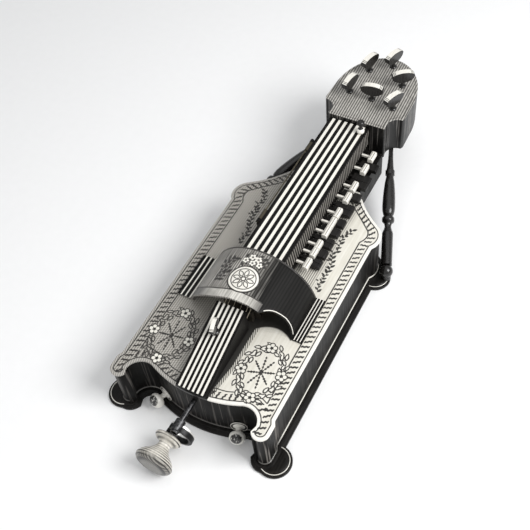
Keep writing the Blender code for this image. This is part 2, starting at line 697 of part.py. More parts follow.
def keybox():
    """The long box over the strings, slotted for the key shafts, with the hinge's lugs."""
    low = TABLE_TOP + GAP
    end = HEAD_Y - GAP
    half, wall = KEYBOX_HALF_WIDTH, KEYBOX_WALL
    made = box("keybox", (-half, KEYBOX_START_Y, low), (half, end, KEYBOX_TOP), EBONY)
    cut(made, box("keybox_inside", (wall - half, KEYBOX_START_Y - CUT_OVERRUN, low - CUT_OVERRUN),
                  (half - wall, end + CUT_OVERRUN, KEYBOX_TOP + CUT_OVERRUN), EBONY, tool=True))
    join(made, box("keybox_head_block", (-half + wall / 2, end - KEYBOX_HEAD_BLOCK, low),
                   (half - wall / 2, end, NUT_TOP - NUT_HEIGHT), EBONY, tool=True))
    for number in range(1, KEY_COUNT + 1):
        y, z = key_y(number), shaft_z(number)
        side = KEY_SHAFT_WIDTH / 2 + GAP
        cut(made, box(f"key_slot_{number}", (-half - CUT_OVERRUN, y - side, z - GAP),
                      (half + CUT_OVERRUN, y + side, z + KEY_SHAFT_HEIGHT + GAP), EBONY,
                      tool=True))
    for i, y in enumerate(hinge_places()):
        ends = (y - HINGE_LUG_LENGTH / 2, y + HINGE_LUG_LENGTH / 2)
        join(made, rod(f"lug_{i}", HINGE_LUG_RADIUS, (HINGE_X, ends[0], HINGE_Z),
                       (HINGE_X, ends[1], HINGE_Z), BRASS, SMALL_SIDES, tool=True))
        join(made, box(f"lug_leaf_{i}", (HINGE_X - HINGE_LUG_RADIUS * 0.7, ends[0],
                                         HINGE_Z - HINGE_LUG_DEPTH),
                       (wall / 4 - half, ends[1], KEYBOX_TOP - GAP / 3), BRASS, tool=True))
    cut(made, hinge_bore())


HINGE_X = -KEYBOX_HALF_WIDTH - HINGE_OUTSET
HINGE_Z = KEYBOX_TOP + GAP + LID_THICKNESS / 2
LID_END_Y = HEAD_Y - 5 * GAP


def hinge_places():
    """The middles of the two lugs, a fifth of the lid in from its ends."""
    run = LID_END_Y - KEYBOX_START_Y
    return (KEYBOX_START_Y + run / 5, LID_END_Y - run / 5)


def hinge_bore():
    start, end = hinge_places()
    reach = HINGE_LUG_LENGTH + HINGE_KNUCKLE_LENGTH
    return rod("hinge_bore_cut", HINGE_PIN_RADIUS + GAP, (HINGE_X, start - reach, HINGE_Z),
               (HINGE_X, end + reach, HINGE_Z), BRASS, SMALL_SIDES, tool=True)


def lid():
    """The striped lid, its two hinge knuckles, the hinge pin and the little turned knob."""
    half = KEYBOX_HALF_WIDTH
    low = KEYBOX_TOP + GAP
    made = box("keybox_lid", (-half + GAP, KEYBOX_START_Y, low),
               (half, LID_END_Y, low + LID_THICKNESS), EBONY)
    start, end = hinge_places()
    for i, (y, way) in enumerate(((start, 1), (end, -1))):
        near = y + way * (HINGE_LUG_LENGTH / 2 + GAP)
        far = near + way * HINGE_KNUCKLE_LENGTH
        join(made, rod(f"knuckle_{i}", HINGE_KNUCKLE_RADIUS, (HINGE_X, near, HINGE_Z),
                       (HINGE_X, far, HINGE_Z), BRASS, SMALL_SIDES, tool=True))
        join(made, box(f"leaf_{i}", (HINGE_X, min(near, far), low + GAP),
                       (-half + HINGE_KNUCKLE_LENGTH / 4, max(near, far),
                        low + LID_THICKNESS - GAP), BRASS, tool=True))
    cut(made, hinge_bore())
    centre_on(made, (HINGE_X, (start + end) / 2, HINGE_Z))
    reach = HINGE_LUG_LENGTH / 2
    rod("lid_hinge_pin", HINGE_PIN_RADIUS, (HINGE_X, start - reach - GAP, HINGE_Z),
        (HINGE_X, end + reach + GAP, HINGE_Z), BRASS, SMALL_SIDES)
    rise, width = LID_KNOB_HEIGHT, LID_KNOB_RADIUS
    shares = ((0.0, 0.60), (0.08, 0.95), (0.22, 1.0), (0.36, 0.70), (0.42, 0.30),
              (0.66, 0.26), (0.72, 0.90), (0.84, 1.0), (1.0, 0.45))
    profile = [(a * rise, b * width) for a, b in shares]
    turned("lid_knob", profile, (half - LID_KNOB_INSET, LID_END_Y - LID_KNOB_SETBACK,
                                 low + LID_THICKNESS + GAP), (0, 0, 1), EBONY, SMALL_SIDES)


def shaft_z(number):
    return RAISED_SHAFT_Z if number in RAISED_KEYS else NATURAL_SHAFT_Z


def head_edges(number):
    """The two edges of a key's head, half way to the next keys of its own row at most."""
    raised = number in RAISED_KEYS
    row = [n for n in range(1, KEY_COUNT + 1) if (n in RAISED_KEYS) == raised]
    here = key_y(number)
    room = min(abs(key_y(n) - here) for n in row if n != number) - KEY_SPACING
    half = min(RAISED_HEAD_MOST if raised else NATURAL_HEAD_MOST, room) / 2
    return here - half, here + half


def keys():
    """The 23 keys, each with two tangents that stop the melody strings when it is pushed."""
    stop_gap = KEY_TRAVEL + GAP + TANGENT_RADIUS + STRING_RADIUS[2]
    for number in range(1, KEY_COUNT + 1):
        raised = number in RAISED_KEYS
        y, z = key_y(number), shaft_z(number)
        half = KEY_SHAFT_WIDTH / 2
        name = f"key_{number:02d}_{'raised' if raised else 'natural'}"
        head_in = KEYBOX_HALF_WIDTH + (RAISED_HEAD_START if raised else KEY_TRAVEL + 4 * GAP)
        made = box(name, (-KEYBOX_HALF_WIDTH, y - half, z),
                   (head_in + KEY_TRAVEL, y + half, z + KEY_SHAFT_HEIGHT),
                   IVORY if raised else EBONY)
        edges = head_edges(number)
        if raised:
            low = (head_in, edges[0], z - NATURAL_HEAD_UNDER / 4)
            high = (head_in + RAISED_HEAD_LENGTH, edges[1], z + RAISED_HEAD_HEIGHT)
        else:
            low = (head_in, edges[0], z - NATURAL_HEAD_UNDER)
            high = (KEYBOX_HALF_WIDTH + NATURAL_HEAD_REACH, edges[1],
                    low[2] + NATURAL_HEAD_HEIGHT)
        join(made, box(name + "_head", low, high, EBONY, tool=True))
        for i, x in enumerate(STRING_X[2:4]):
            foot = (x + stop_gap, y, z + KEY_SHAFT_HEIGHT / 2)
            join(made, rod(f"{name}_tangent_{i}", TANGENT_RADIUS, foot,
                           (foot[0], y, TANGENT_TOP), EBONY, 6, tool=True))
        centre_on(made, (0, y, z + KEY_SHAFT_HEIGHT / 2))


def head_half_outline():
    """The right half of the pegbox's face, about its own middle line."""
    front = HEAD_Y
    points = [(HEAD_FRONT_HALF, front)]
    points += list(arc((HEAD_NOTCH_X, front + HEAD_NOTCH_RISE), HEAD_NOTCH_RADIUS, 205, 90,
                       ARC_STEPS))
    ear_y = front + HEAD_NOTCH_RISE + HEAD_NOTCH_RADIUS
    points.append((HEAD_NOTCH_X + HEAD_EAR_OUT, ear_y + HEAD_EAR_LENGTH))
    widest_y = front + HEAD_WIDEST_RISE
    top = HEAD_LENGTH - HEAD_WIDEST_RISE
    for i in range(2 * ARC_STEPS):
        angle = math.pi / 2 * i / (2 * ARC_STEPS)
        points.append((HEAD_HALF_WIDTH * math.cos(angle), widest_y + top * math.sin(angle)))
    points.append((0, widest_y + top))
    return points


def hollow_half_outline():
    """The right half of the hollow under the pegbox's face."""
    front = HEAD_Y + HEAD_RIM
    widest_y = HEAD_Y + HEAD_WIDEST_RISE
    half, top = HEAD_HALF_WIDTH - HEAD_RIM, HEAD_LENGTH - HEAD_WIDEST_RISE - HEAD_RIM
    points = [(HEAD_FRONT_HALF - HEAD_RIM / 2, front)]
    for i in range(ARC_STEPS + 1):
        angle = math.pi / 2 * i / ARC_STEPS
        points.append((half * math.cos(angle), widest_y + top * math.sin(angle)))
    return points


def pegbox():
    """The shield-shaped head, hollow from below, with a hole for each peg."""
    outline = mirrored(head_half_outline())
    shift = Matrix.Translation((HEAD_X, 0, 0))
    made = plate("pegbox", outline, HEAD_LOW, HEAD_TOP, GREY_WOOD, shift)
    cut(made, plate("pegbox_hollow", mirrored(hollow_half_outline()),
                    HEAD_LOW - CUT_OVERRUN, HEAD_TOP - HEAD_FACE, GREY_WOOD, shift, tool=True))
    half = HEAD_WINDOW_HALF
    cut(made, box("string_window", (-half, HEAD_Y - CUT_OVERRUN, NUT_TOP - HEAD_WINDOW_BELOW),
                  (half, HEAD_Y + HEAD_RIM + CUT_OVERRUN, NUT_TOP + HEAD_WINDOW_ABOVE),
                  GREY_WOOD, tool=True))
    for i, (x, y) in enumerate(peg_places()):
        cut(made, rod(f"peg_hole_{i}", PEG_RADIUS + GAP, (x, y, HEAD_TOP - 2 * HEAD_FACE),
                      (x, y, HEAD_TOP + CUT_OVERRUN), EBONY, SMALL_SIDES + 4, tool=True))


def peg_places():
    inside = HEAD_LENGTH - 2 * HEAD_RIM
    return [(HEAD_X + x * HEAD_HALF_WIDTH, HEAD_Y + HEAD_RIM + y * inside)
            for x, y in PEG_SHARES]


def peg(name, foot_z, tip_z, x, y, turn, share=1.0):
    """A tuning peg: a shaft, a collar on the face, a short stem and a curved paddle, which
    is as big as a share of the head's pegs asks."""
    stem = PEG_STEM * share
    profile = [(tip_z, PEG_RADIUS), (foot_z + GAP, PEG_RADIUS),
               (foot_z + GAP, PEG_COLLAR_RADIUS),
               (foot_z + PEG_COLLAR_HEIGHT, PEG_COLLAR_RADIUS),
               (foot_z + PEG_COLLAR_HEIGHT, PEG_STEM_RADIUS),
               (foot_z + stem + PADDLE_HEIGHT * share / 3, PEG_STEM_RADIUS)]
    made = turned(name, profile, (x, y, 0.0), (0, 0, 1), EBONY, SMALL_SIDES)
    low = foot_z + stem
    half, rise, thick = (a * share for a in (PADDLE_WIDTH / 2, PADDLE_HEIGHT, PADDLE_THICKNESS))
    crown = [(-half * math.cos(math.pi * i / ARC_STEPS),
              rise * (0.62 + 0.38 * math.sin(math.pi * i / ARC_STEPS)))
             for i in range(ARC_STEPS + 1)]
    waist = [(half * math.cos(math.pi * i / ARC_STEPS),
              rise * 0.62 * (1 - math.sin(math.pi * i / ARC_STEPS)))
             for i in range(1, ARC_STEPS)]
    outline = crown + waist
    stand = (Matrix.Translation((x, y, low)) @ Matrix.Rotation(math.radians(turn), 4, "Z")
             @ Matrix.Rotation(math.radians(90.0), 4, "X"))
    join(made, plate(name + "_paddle", outline, -thick / 2, thick / 2, EBONY, stand,
                     tool=True))


def pegs():
    for i, ((x, y), turn) in enumerate(zip(peg_places(), PEG_TURNS)):
        peg(f"peg_{i + 1}", HEAD_TOP, PEG_TIP_Z, x, y, turn)


def tailpiece():
    """The sloping striped wedge that the strings are tied to, with the trumpet's own peg."""
    low, end = TAILPIECE_LOW, TAILPIECE_HIGH
    start_y, end_y = TAILPIECE_START_Y, TAILPIECE_END_Y
    side = ((start_y, TABLE_TOP + GAP), (end_y, TABLE_TOP + GAP),
            (end_y, TABLE_TOP + end), (start_y, TABLE_TOP + low))
    stand = Matrix(((0, 0, 1, 0), (1, 0, 0, 0), (0, 1, 0, 0), (0, 0, 0, 1)))
    made = plate("tailpiece", side, -TAILPIECE_HALF_WIDTH, TAILPIECE_HALF_WIDTH, EBONY, stand)
    share = (TIRANT_Y - start_y) / (end_y - start_y)
    top = TABLE_TOP + low + (end - low) * share
    seat = top + PEG_COLLAR_RADIUS * (end - low) / (end_y - start_y)
    cut(made, rod("tirant_hole", PEG_RADIUS + GAP, (TIRANT_X, TIRANT_Y, top - PADDLE_HEIGHT),
                  (TIRANT_X, TIRANT_Y, top + PADDLE_HEIGHT), EBONY, SMALL_SIDES, tool=True))
    peg("tirant_peg", seat, top - PADDLE_HEIGHT + PEG_COLLAR_HEIGHT, TIRANT_X, TIRANT_Y,
        TIRANT_TURN, TIRANT_SHARE)


def string_height(index):
    """The height of a string over the wheel, just clear of its rim."""
    x = STRING_X[index]
    rim = AXLE_Z + math.sqrt(WHEEL_RADIUS ** 2 - x ** 2)
    return rim + STRING_RADIUS[index] + GAP


def bridge_and_nut():
    """The bridge, the trumpet string's little rattling bridge and the ivory nut."""
    foot = TABLE_TOP + GAP
    low_edge = [(-BRIDGE_HALF_FOOT, foot), (-BRIDGE_HALF_FOOT / 2, foot),
                (0.0, foot + 2 * BRIDGE_THICKNESS), (BRIDGE_HALF_FOOT / 2, foot),
                (BRIDGE_HALF_FOOT, foot)]
    crown_z = string_height(2) + STRING_LIFT - STRING_RADIUS[2] - GAP
    drop = string_height(3) - string_height(0)
    top = [(BRIDGE_HALF_TOP * math.cos(math.pi * i / ARC_STEPS),
            crown_z - drop * math.cos(math.pi * i / ARC_STEPS) ** 2)
           for i in range(ARC_STEPS + 1)]
    upright = Matrix.Rotation(math.radians(90.0), 4, "X")
    made = plate("bridge", low_edge + top, -BRIDGE_Y - BRIDGE_THICKNESS / 2,
                 -BRIDGE_Y + BRIDGE_THICKNESS / 2, BOXWOOD, upright)
    for i, x in enumerate(STRING_X):
        z = string_height(i) + STRING_LIFT
        way = STRING_RADIUS[i] + GAP
        cut(made, box(f"bridge_notch_{i}", (x - way, BRIDGE_Y - BRIDGE_THICKNESS, z - way),
                      (x + way, BRIDGE_Y + BRIDGE_THICKNESS, z + BRIDGE_HALF_TOP), BOXWOOD,
                      tool=True))
    x = STRING_X[5]
    share = (DOG_Y - DOG_LENGTH / 2 - TAILPIECE_END_Y) / (BRIDGE_Y - TAILPIECE_END_Y)
    crest = TAIL_STRING_Z + (string_height(5) + STRING_LIFT - TAIL_STRING_Z) * share
    box("trumpet_dog", (x - DOG_WIDTH / 2, DOG_Y - DOG_LENGTH / 2, foot),
        (x + DOG_WIDTH / 2, DOG_Y + DOG_LENGTH / 2, crest - STRING_RADIUS[5] - GAP), BOXWOOD)
    half = KEYBOX_HALF_WIDTH - KEYBOX_WALL - GAP
    seat = NUT_TOP - NUT_HEIGHT + GAP
    box("nut", (-half, NUT_Y - NUT_THICKNESS / 2, seat), (half, NUT_Y + NUT_THICKNESS / 2,
                                                         NUT_TOP), IVORY)


# The peg that each string runs to, counted from zero as in PEG_SHARES
STRING_PEGS = (0, 3, 5, 1, 4, 2)


def strings():
    """Six strings, each from the tailpiece over the bridge and the nut to its peg."""
    for i, (name, x, radius) in enumerate(zip(STRING_NAMES, STRING_X, STRING_RADIUS)):
        peg_x, peg_y = peg_places()[STRING_PEGS[i]]
        nut_z = NUT_TOP + radius + GAP
        reach = PEG_RADIUS + 2 * radius + 2 * GAP
        route = [(x, TAILPIECE_END_Y + GAP, TAIL_STRING_Z),
                 (x, BRIDGE_Y - BRIDGE_THICKNESS / 2, string_height(i) + STRING_LIFT),
                 (x, BRIDGE_Y + BRIDGE_THICKNESS / 2, string_height(i) + STRING_LIFT),
                 (x, WHEEL_Y, string_height(i) + radius),
                 (x, NUT_Y - NUT_THICKNESS / 2, nut_z),
                 (x, NUT_Y + NUT_THICKNESS / 2, nut_z),
                 (peg_x - reach, peg_y, nut_z)]
        curve = bpy.data.curves.new(name, "CURVE")
        curve.dimensions = "3D"
        curve.bevel_depth = radius
        curve.bevel_resolution = 1
        curve.use_fill_caps = True
        line = curve.splines.new("POLY")
        line.points.add(len(route) - 1)
        for point, spot in zip(line.points, route):
            point.co = (*spot, 1.0)
        curve.materials.append(GUT)
        PARTS.objects.link(bpy.data.objects.new(name, curve))


# Distance from the pegbox and radius, as shares of the strut's length and widest radius
STRUT_SHARES = ((0.0, 0.36), (0.10, 0.42), (0.20, 0.62), (0.205, 0.74), (0.235, 0.74),
                (0.24, 0.55), (0.30, 0.78), (0.42, 0.98), (0.52, 1.0), (0.56, 0.80),
                (0.57, 0.62), (0.585, 0.94), (0.615, 0.94), (0.63, 0.62), (0.66, 0.52),
                (0.70, 0.80), (0.71, 0.86), (1.0, 0.86))


def struts():
    """The two turned struts that hold the pegbox to the feet at the head end."""
    ceiling = box("strut_ceiling", (-HEAD_HALF_WIDTH, HEAD_Y, HEAD_LOW - GAP),
                  (2 * HEAD_HALF_WIDTH, HEAD_Y + HEAD_HALF_WIDTH, HEAD_TOP), EBONY, tool=True)
    for side, name in ((-1, "strut_left"), (1, "strut_right")):
        foot = Vector((side * STRUT_BALL_X, STRUT_BALL_Y, STRUT_BALL_Z))
        head = Vector((HEAD_X + side * STRUT_HEAD_X, STRUT_HEAD_Y, HEAD_LOW))
        run = foot - head
        profile = [(a * run.length, b * STRUT_RADIUS) for a, b in STRUT_SHARES]
        start = -STRUT_SHARES[1][0] * run.length / 2
        profile[0] = (start, profile[0][1])
        made = turned(name, profile, head, run, EBONY, SMALL_SIDES + 4)
        cut(made, ball(name + "_seat", STRUT_BALL_RADIUS + GAP, foot, EBONY, tool=True))
        cut(made, ceiling)


def strap_buttons():
    """A ball-headed button on each side of the tail, square to the curved wall."""
    centre_y, radius = bulge_circle()
    wall = radius - TABLE_OVERHANG
    shares = ((0.0, 0.78), (0.07, 0.78), (0.10, 0.62), (0.13, 0.36), (0.30, 0.30),
              (0.36, 0.40), (0.40, 0.72), (0.50, 0.94), (0.64, 1.0), (0.80, 0.90),
              (0.92, 0.62), (1.0, 0.25))
    profile = [(a * BUTTON_LENGTH, b * BUTTON_RADIUS) for a, b in shares]
    for side, name in ((-1, "strap_button_left"), (1, "strap_button_right")):
        out = Vector((side * BUTTON_X, -math.sqrt(wall ** 2 - BUTTON_X ** 2), 0)).normalized()
        foot = Vector((0, centre_y, BUTTON_Z)) + out * (wall + GAP)
        turned(name, profile, foot, out, IVORY, ROUND_SIDES - 4)


back_plate()
side_wall()
soundboard()
body_blocks()
wheel_and_axle()
crank()
handle_knob()
wheel_cover()
keybox()
lid()
keys()
pegbox()
pegs()
tailpiece()
bridge_and_nut()
strings()
struts()
strap_buttons()
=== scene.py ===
# %% [markdown]
# # Dressing a hurdy-gurdy
# A hurdy-gurdy is a fiddle that is bowed by a wheel: a crank turns the wheel against the
# strings, and a row of keys under a lidded box stops them. The CAD model already has every
# solid in its place. This lesson puts the looks on it: smooth edges, figured wood, ivory
# stringing and inked ornament. The look to match is that of an old wood engraving, so the
# finishes stay close to black, grey and cream.

# %% Load the frame
import math

import bmesh
import bpy
from mathutils import Matrix, Vector


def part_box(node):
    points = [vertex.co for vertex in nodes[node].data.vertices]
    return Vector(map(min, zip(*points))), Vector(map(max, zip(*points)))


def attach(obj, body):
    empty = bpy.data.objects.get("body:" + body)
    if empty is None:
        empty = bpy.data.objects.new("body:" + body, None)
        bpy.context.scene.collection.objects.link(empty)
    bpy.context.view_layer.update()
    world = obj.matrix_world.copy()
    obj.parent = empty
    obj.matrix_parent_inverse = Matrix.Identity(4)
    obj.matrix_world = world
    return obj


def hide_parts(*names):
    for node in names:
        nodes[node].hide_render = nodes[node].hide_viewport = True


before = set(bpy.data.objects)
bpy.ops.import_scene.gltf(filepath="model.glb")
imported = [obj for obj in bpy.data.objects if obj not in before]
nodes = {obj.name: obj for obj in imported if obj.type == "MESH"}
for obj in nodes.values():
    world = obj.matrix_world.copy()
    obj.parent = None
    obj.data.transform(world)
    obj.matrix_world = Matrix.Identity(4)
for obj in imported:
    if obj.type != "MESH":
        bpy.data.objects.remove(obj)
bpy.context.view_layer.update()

# %% [markdown]
# ## Camera
# The engraver drew the instrument from above its tail, turned so that the keys are on the
# right. An ordinary camera is set up from four facts: the point it looks at, how far away
# it is, its direction as an azimuth and an elevation, and its roll. The sight line passes
# a little beside the target, so the camera is moved sideways, which needs no lens shift.

# %% Camera
TARGET = Vector((0.0, 0.069, 0.080))
DISTANCE, ASIDE, ABOVE = 1.2667, -0.0100, 0.0101
AZIMUTH, ELEVATION, ROLL = math.radians(33.5), math.radians(52.5), math.radians(-7.1)
FOCAL_PIXELS, PICTURE_PIXELS, SENSOR = 817.4, 530, 36.0


def set_camera():
    toward = Vector((math.sin(AZIMUTH) * math.cos(ELEVATION),
                     -math.cos(AZIMUTH) * math.cos(ELEVATION), math.sin(ELEVATION)))
    level = Vector((math.cos(AZIMUTH), math.sin(AZIMUTH), 0.0))
    upright = toward.cross(level)
    across = level * math.cos(ROLL) + upright * math.sin(ROLL)
    up = upright * math.cos(ROLL) - level * math.sin(ROLL)
    data = bpy.data.cameras.new("camera")
    data.sensor_width = SENSOR
    data.lens = FOCAL_PIXELS * SENSOR / PICTURE_PIXELS
    data.clip_start, data.clip_end = 0.05, 20.0
    camera = bpy.data.objects.new("camera", data)
    camera.matrix_world = (Matrix.Translation(TARGET + toward * DISTANCE + across * ASIDE
                                              + up * ABOVE)
                           @ Matrix((across, up, toward)).transposed().to_4x4())
    bpy.context.scene.collection.objects.link(camera)
    bpy.context.scene.camera = camera
    print("lens", round(data.lens, 1), "mm")


set_camera()

# %% [markdown]
# ## Light
# The white right half of the table and the grey left half say that the light comes from
# the right: the keybox shades the left half. One wide lamp does that, and painted shade in
# the table's colour deepens it. A weak second one keeps the tail readable, a third one
# shines from above, and the world gives the rest.

# %% Light
def lamp(name, place, aim, power, size):
    data = bpy.data.lights.new(name, "AREA")
    data.energy, data.size = power, size
    made = bpy.data.objects.new(name, data)
    made.location = place
    made.rotation_euler = (Vector(aim) - Vector(place)).to_track_quat("-Z", "Y").to_euler()
    bpy.context.scene.collection.objects.link(made)


lamp("window_light", (1.35, 0.10, 1.45), (0.0, 0.1, 0.05), 34.0, 1.0)
lamp("tail_light", (-0.4, -1.9, 1.1), (0.0, 0.0, 0.05), 5.0, 1.2)
lamp("sky_light", (0.0, 0.5, 2.4), (0.0, 0.1, 0.0), 7.0, 2.0)

world = bpy.data.worlds.new("room")
world.use_nodes = True
world.node_tree.nodes["Background"].inputs["Color"].default_value = (0.93, 0.94, 0.95, 1.0)
world.node_tree.nodes["Background"].inputs["Strength"].default_value = 0.55
bpy.context.scene.world = world
bpy.context.scene.view_settings.view_transform = "Standard"
print("lamps", len(bpy.data.lights))

# %% [markdown]
# ## Reckoning with sockets
# A shader tree is easier to read as arithmetic. `Value` wraps one output, and each sign
# adds the Math node that does it. `Finish` holds a material, and adds any other node with
# its settings first and its inputs after.

# %% Sockets that reckon
class Value:
    """An output socket on which +, -, *, /, < and > add Math nodes."""

    def __init__(self, tree, socket):
        self.tree, self.socket = tree, socket

    def reckon(self, operation, *others):
        node = self.tree.nodes.new("ShaderNodeMath")
        node.operation = operation
        for slot, item in zip(node.inputs, (self, *others)):
            if isinstance(item, Value):
                self.tree.links.new(item.socket, slot)
            else:
                slot.default_value = item
        return Value(self.tree, node.outputs[0])

    def __add__(self, other):
        return self.reckon("ADD", other)

    def __sub__(self, other):
        return self.reckon("SUBTRACT", other)

    def __rsub__(self, other):
        return self.reckon("MULTIPLY_ADD", -1.0, other)

    def __mul__(self, other):
        return self.reckon("MULTIPLY", other)

    def __truediv__(self, other):
        return self.reckon("DIVIDE", other)

    def __lt__(self, other):
        return self.reckon("LESS_THAN", other)

    def __gt__(self, other):
        return self.reckon("GREATER_THAN", other)

    def __abs__(self):
        return self.reckon("ABSOLUTE")

    __radd__, __rmul__ = __add__, __mul__


class Finish:
    """A material under construction, with its Principled shader."""

    def __init__(self, name, roughness=0.4, metallic=0.0, coat=0.0, specular=0.5):
        self.material = bpy.data.materials.new(name)
        self.material.use_nodes = True
        self.tree = self.material.node_tree
        self.shader = self.tree.nodes["Principled BSDF"]
        for socket, setting in (("Roughness", roughness), ("Metallic", metallic),
                                ("Coat Weight", coat), ("Coat Roughness", 0.12),
                                ("Specular IOR Level", specular)):
            self.feed(socket, setting)

    def put(self, slot, item):
        if isinstance(item, Value):
            self.tree.links.new(item.socket, slot)
        elif isinstance(item, tuple) and len(item) < len(slot.default_value):
            slot.default_value = (*item, 1.0)
        else:
            slot.default_value = item

    def feed(self, name, item):
        self.put(self.shader.inputs[name], item)

    def node(self, kind, inputs, output=0, **settings):
        made = self.tree.nodes.new(kind)
        for name, setting in settings.items():
            setattr(made, name, setting)
        for key, item in inputs.items():
            self.put(made.inputs[key], item)
        return Value(self.tree, made.outputs[output])

    def point(self):
        return self.node("ShaderNodeTexCoord", {}, "Object")

    def axes(self):
        return [self.node("ShaderNodeSeparateXYZ", {0: self.point()}, i) for i in range(3)]

    def noise(self, stretch, scale, detail=3.0, distortion=0.0):
        """Noise from 0 to 1 on Object coordinates, drawn out along an axis."""
        spot = self.node("ShaderNodeMapping", {"Vector": self.point(), "Scale": stretch})
        return self.node("ShaderNodeTexNoise", {"Vector": spot, "Scale": scale,
                                                "Detail": detail, "Distortion": distortion})

    def blend(self, first, second, amount):
        return self.node("ShaderNodeMix", {0: amount, 6: first, 7: second}, 2,
                         data_type="RGBA")

    def between(self, value, low, high, to_low=0.0, to_high=1.0):
        return self.node("ShaderNodeMapRange", {0: value, 1: low, 2: high, 3: to_low,
                                                4: to_high})

    def hatch(self, place, pitch, share):
        """1 on evenly spaced lines that fill a share of the surface, and 0 between them."""
        ramp = abs((place / pitch).reckon("FRACT") - 0.5)
        return self.between(ramp, share / 2 + 0.06, share / 2 - 0.06)

    def bump(self, height, depth):
        self.feed("Normal", self.node("ShaderNodeBump", {"Distance": depth, "Height": height}))


# %% [markdown]
# ## Woods, ivory and iron
# Grain is noise that is drawn out along the board. Figured wood adds a second, slow noise
# for its clouds. Edges and flats differ a little in roughness, because polish never lies
# evenly. Every wood comes from one function, so that they look like one workshop's.

# %% Woods
EVENLY = (1.0, 1.0, 1.0)
ALONG_Y, ALONG_X, ALONG_Z = (1.0, 0.05, 1.0), (0.05, 1.0, 1.0), (1.0, 1.0, 0.05)
IVORY_WHITE, IVORY_OLD, INK = (0.84, 0.82, 0.76), (0.74, 0.71, 0.64), (0.022, 0.020, 0.018)
SOOT, SOOT_LIGHT = (0.002, 0.0018, 0.0016), (0.008, 0.0072, 0.0065)
EBONY_DARK, EBONY_LIGHT = (0.003, 0.0028, 0.0026), (0.014, 0.0125, 0.0115)
MATT = {"coat": 0.0, "specular": 0.14}


def wood(name, dark, light, along, scale=420.0, roughness=0.38, coat=0.15, cloud=0.35,
         specular=0.4):
    """A grained wood. Returns its finish and its colour, so that an inlay can be added."""
    made = Finish(name, coat=coat, specular=specular)
    grain = made.noise(along, scale, 4.0, 0.3)
    clouds = made.noise(EVENLY, 28.0, 3.0, 0.6)
    amount = made.between(grain * (1.0 - cloud) + clouds * cloud, 0.32, 0.68)
    made.feed("Roughness", made.between(grain, 0.3, 0.7, roughness - 0.05, roughness + 0.08))
    made.bump(grain, 0.00004)
    return made, made.blend(dark, light, amount)


def finished(made, colour):
    """The material, with its last colour on it."""
    made.feed("Base Color", colour)
    return made.material


def plain(*settings, **more):
    return finished(*wood(*settings, **more))


ebony = plain("ebony", EBONY_DARK, EBONY_LIGHT, ALONG_Y, roughness=0.36, coat=0.06,
              specular=0.22)
ebony_upright = plain("ebony_upright", EBONY_DARK, EBONY_LIGHT, ALONG_Z, roughness=0.26,
                      coat=0.35)
moulding_wood = plain("moulding_wood", SOOT, (0.014, 0.0125, 0.011), ALONG_Y, roughness=0.36,
                      coat=0.05, specular=0.15)
bridge_wood = plain("bridge_wood", (0.020, 0.017, 0.013), (0.060, 0.052, 0.042), ALONG_X,
                    roughness=0.5, coat=0.0, specular=0.2)
block_wood = plain("block_wood", (0.42, 0.33, 0.22), (0.62, 0.52, 0.38), ALONG_Y,
                   roughness=0.55, coat=0.0)


def side_finish():
    """Ebonised boards with pale upright streaks, which show most at the tail."""
    made, colour = wood("side_wood", SOOT, (0.006, 0.0055, 0.005), ALONG_Z, scale=380.0,
                        roughness=0.45, coat=0.0, cloud=0.30, specular=0.12)
    x, y, _ = made.axes()
    streaks = made.between(made.noise((1.0, 1.0, 0.03), 330.0, 2.0), 0.54, 0.64)
    strength = (made.between(y, -0.146, -0.160, 0.12, 0.34)
                + made.between(x, 0.080, 0.100) * (y < -0.15) * 0.45)
    return finished(made, made.blend(colour, (0.20, 0.185, 0.17), streaks * strength))


side_wood = side_finish()
print("woods", len(bpy.data.materials))


# %% [markdown]
# ## Ivory, metal, gut and ink
# Ivory has fine lines, metal is speckled where it was hammered or rubbed, gut is a pale
# wood with very fine grain, and ink has faded in places. Each is one noise, used twice.

# %% Ivory, gut, iron, brass and ink
def ivory_finish():
    """Cream that varies a little, with the fine lines of real ivory."""
    made = Finish("ivory", coat=0.2)
    lines = made.noise(ALONG_Y, 900.0, 2.0)
    made.feed("Roughness", made.between(lines, 0.3, 0.7, 0.24, 0.36))
    made.bump(lines, 0.00001)
    return finished(made, made.blend((0.76, 0.73, 0.66), IVORY_WHITE,
                                     made.between(lines, 0.35, 0.6)))


def metal(name, dark, light, roughness, speckle):
    """Metal whose hammered or rubbed skin changes its colour and its shine."""
    made = Finish(name, metallic=1.0)
    specks = made.noise(EVENLY, speckle, 4.0)
    made.feed("Roughness", made.between(specks, 0.3, 0.7, roughness - 0.08, roughness + 0.12))
    made.bump(specks, 0.00008)
    return finished(made, made.blend(dark, light, made.between(specks, 0.35, 0.65)))


def ink_finish():
    """Ink that has faded to brown in places."""
    made = Finish("ink")
    fade = made.noise(EVENLY, 240.0, 2.0)
    made.feed("Roughness", made.between(fade, 0.3, 0.7, 0.38, 0.5))
    return finished(made, made.blend(INK, (0.075, 0.068, 0.060),
                                     made.between(fade, 0.45, 0.75)))


ivory = ivory_finish()
iron = metal("black_iron", (0.030, 0.030, 0.032), (0.11, 0.11, 0.112), 0.36, 260.0)
brass = metal("old_brass", (0.06, 0.052, 0.040), (0.16, 0.14, 0.10), 0.42, 300.0)
gut = plain("gut", (0.52, 0.45, 0.32), (0.80, 0.73, 0.58), ALONG_X, scale=900.0,
            roughness=0.45, coat=0.0)
ink = ink_finish()
print("finishes", len(bpy.data.materials))


# %% [markdown]
# ## Stringing: the black and white stripes
# The lid, the tailpiece and the flanges of the wheel cover are striped with strips of
# ivory let into ebony. A stripe is a place in a repeating ramp: the distance from the left
# edge, divided by the pitch, has a whole part and a fraction, and the fraction says ebony
# or ivory. The stripes show only on the top face, so the mask asks for the height too.

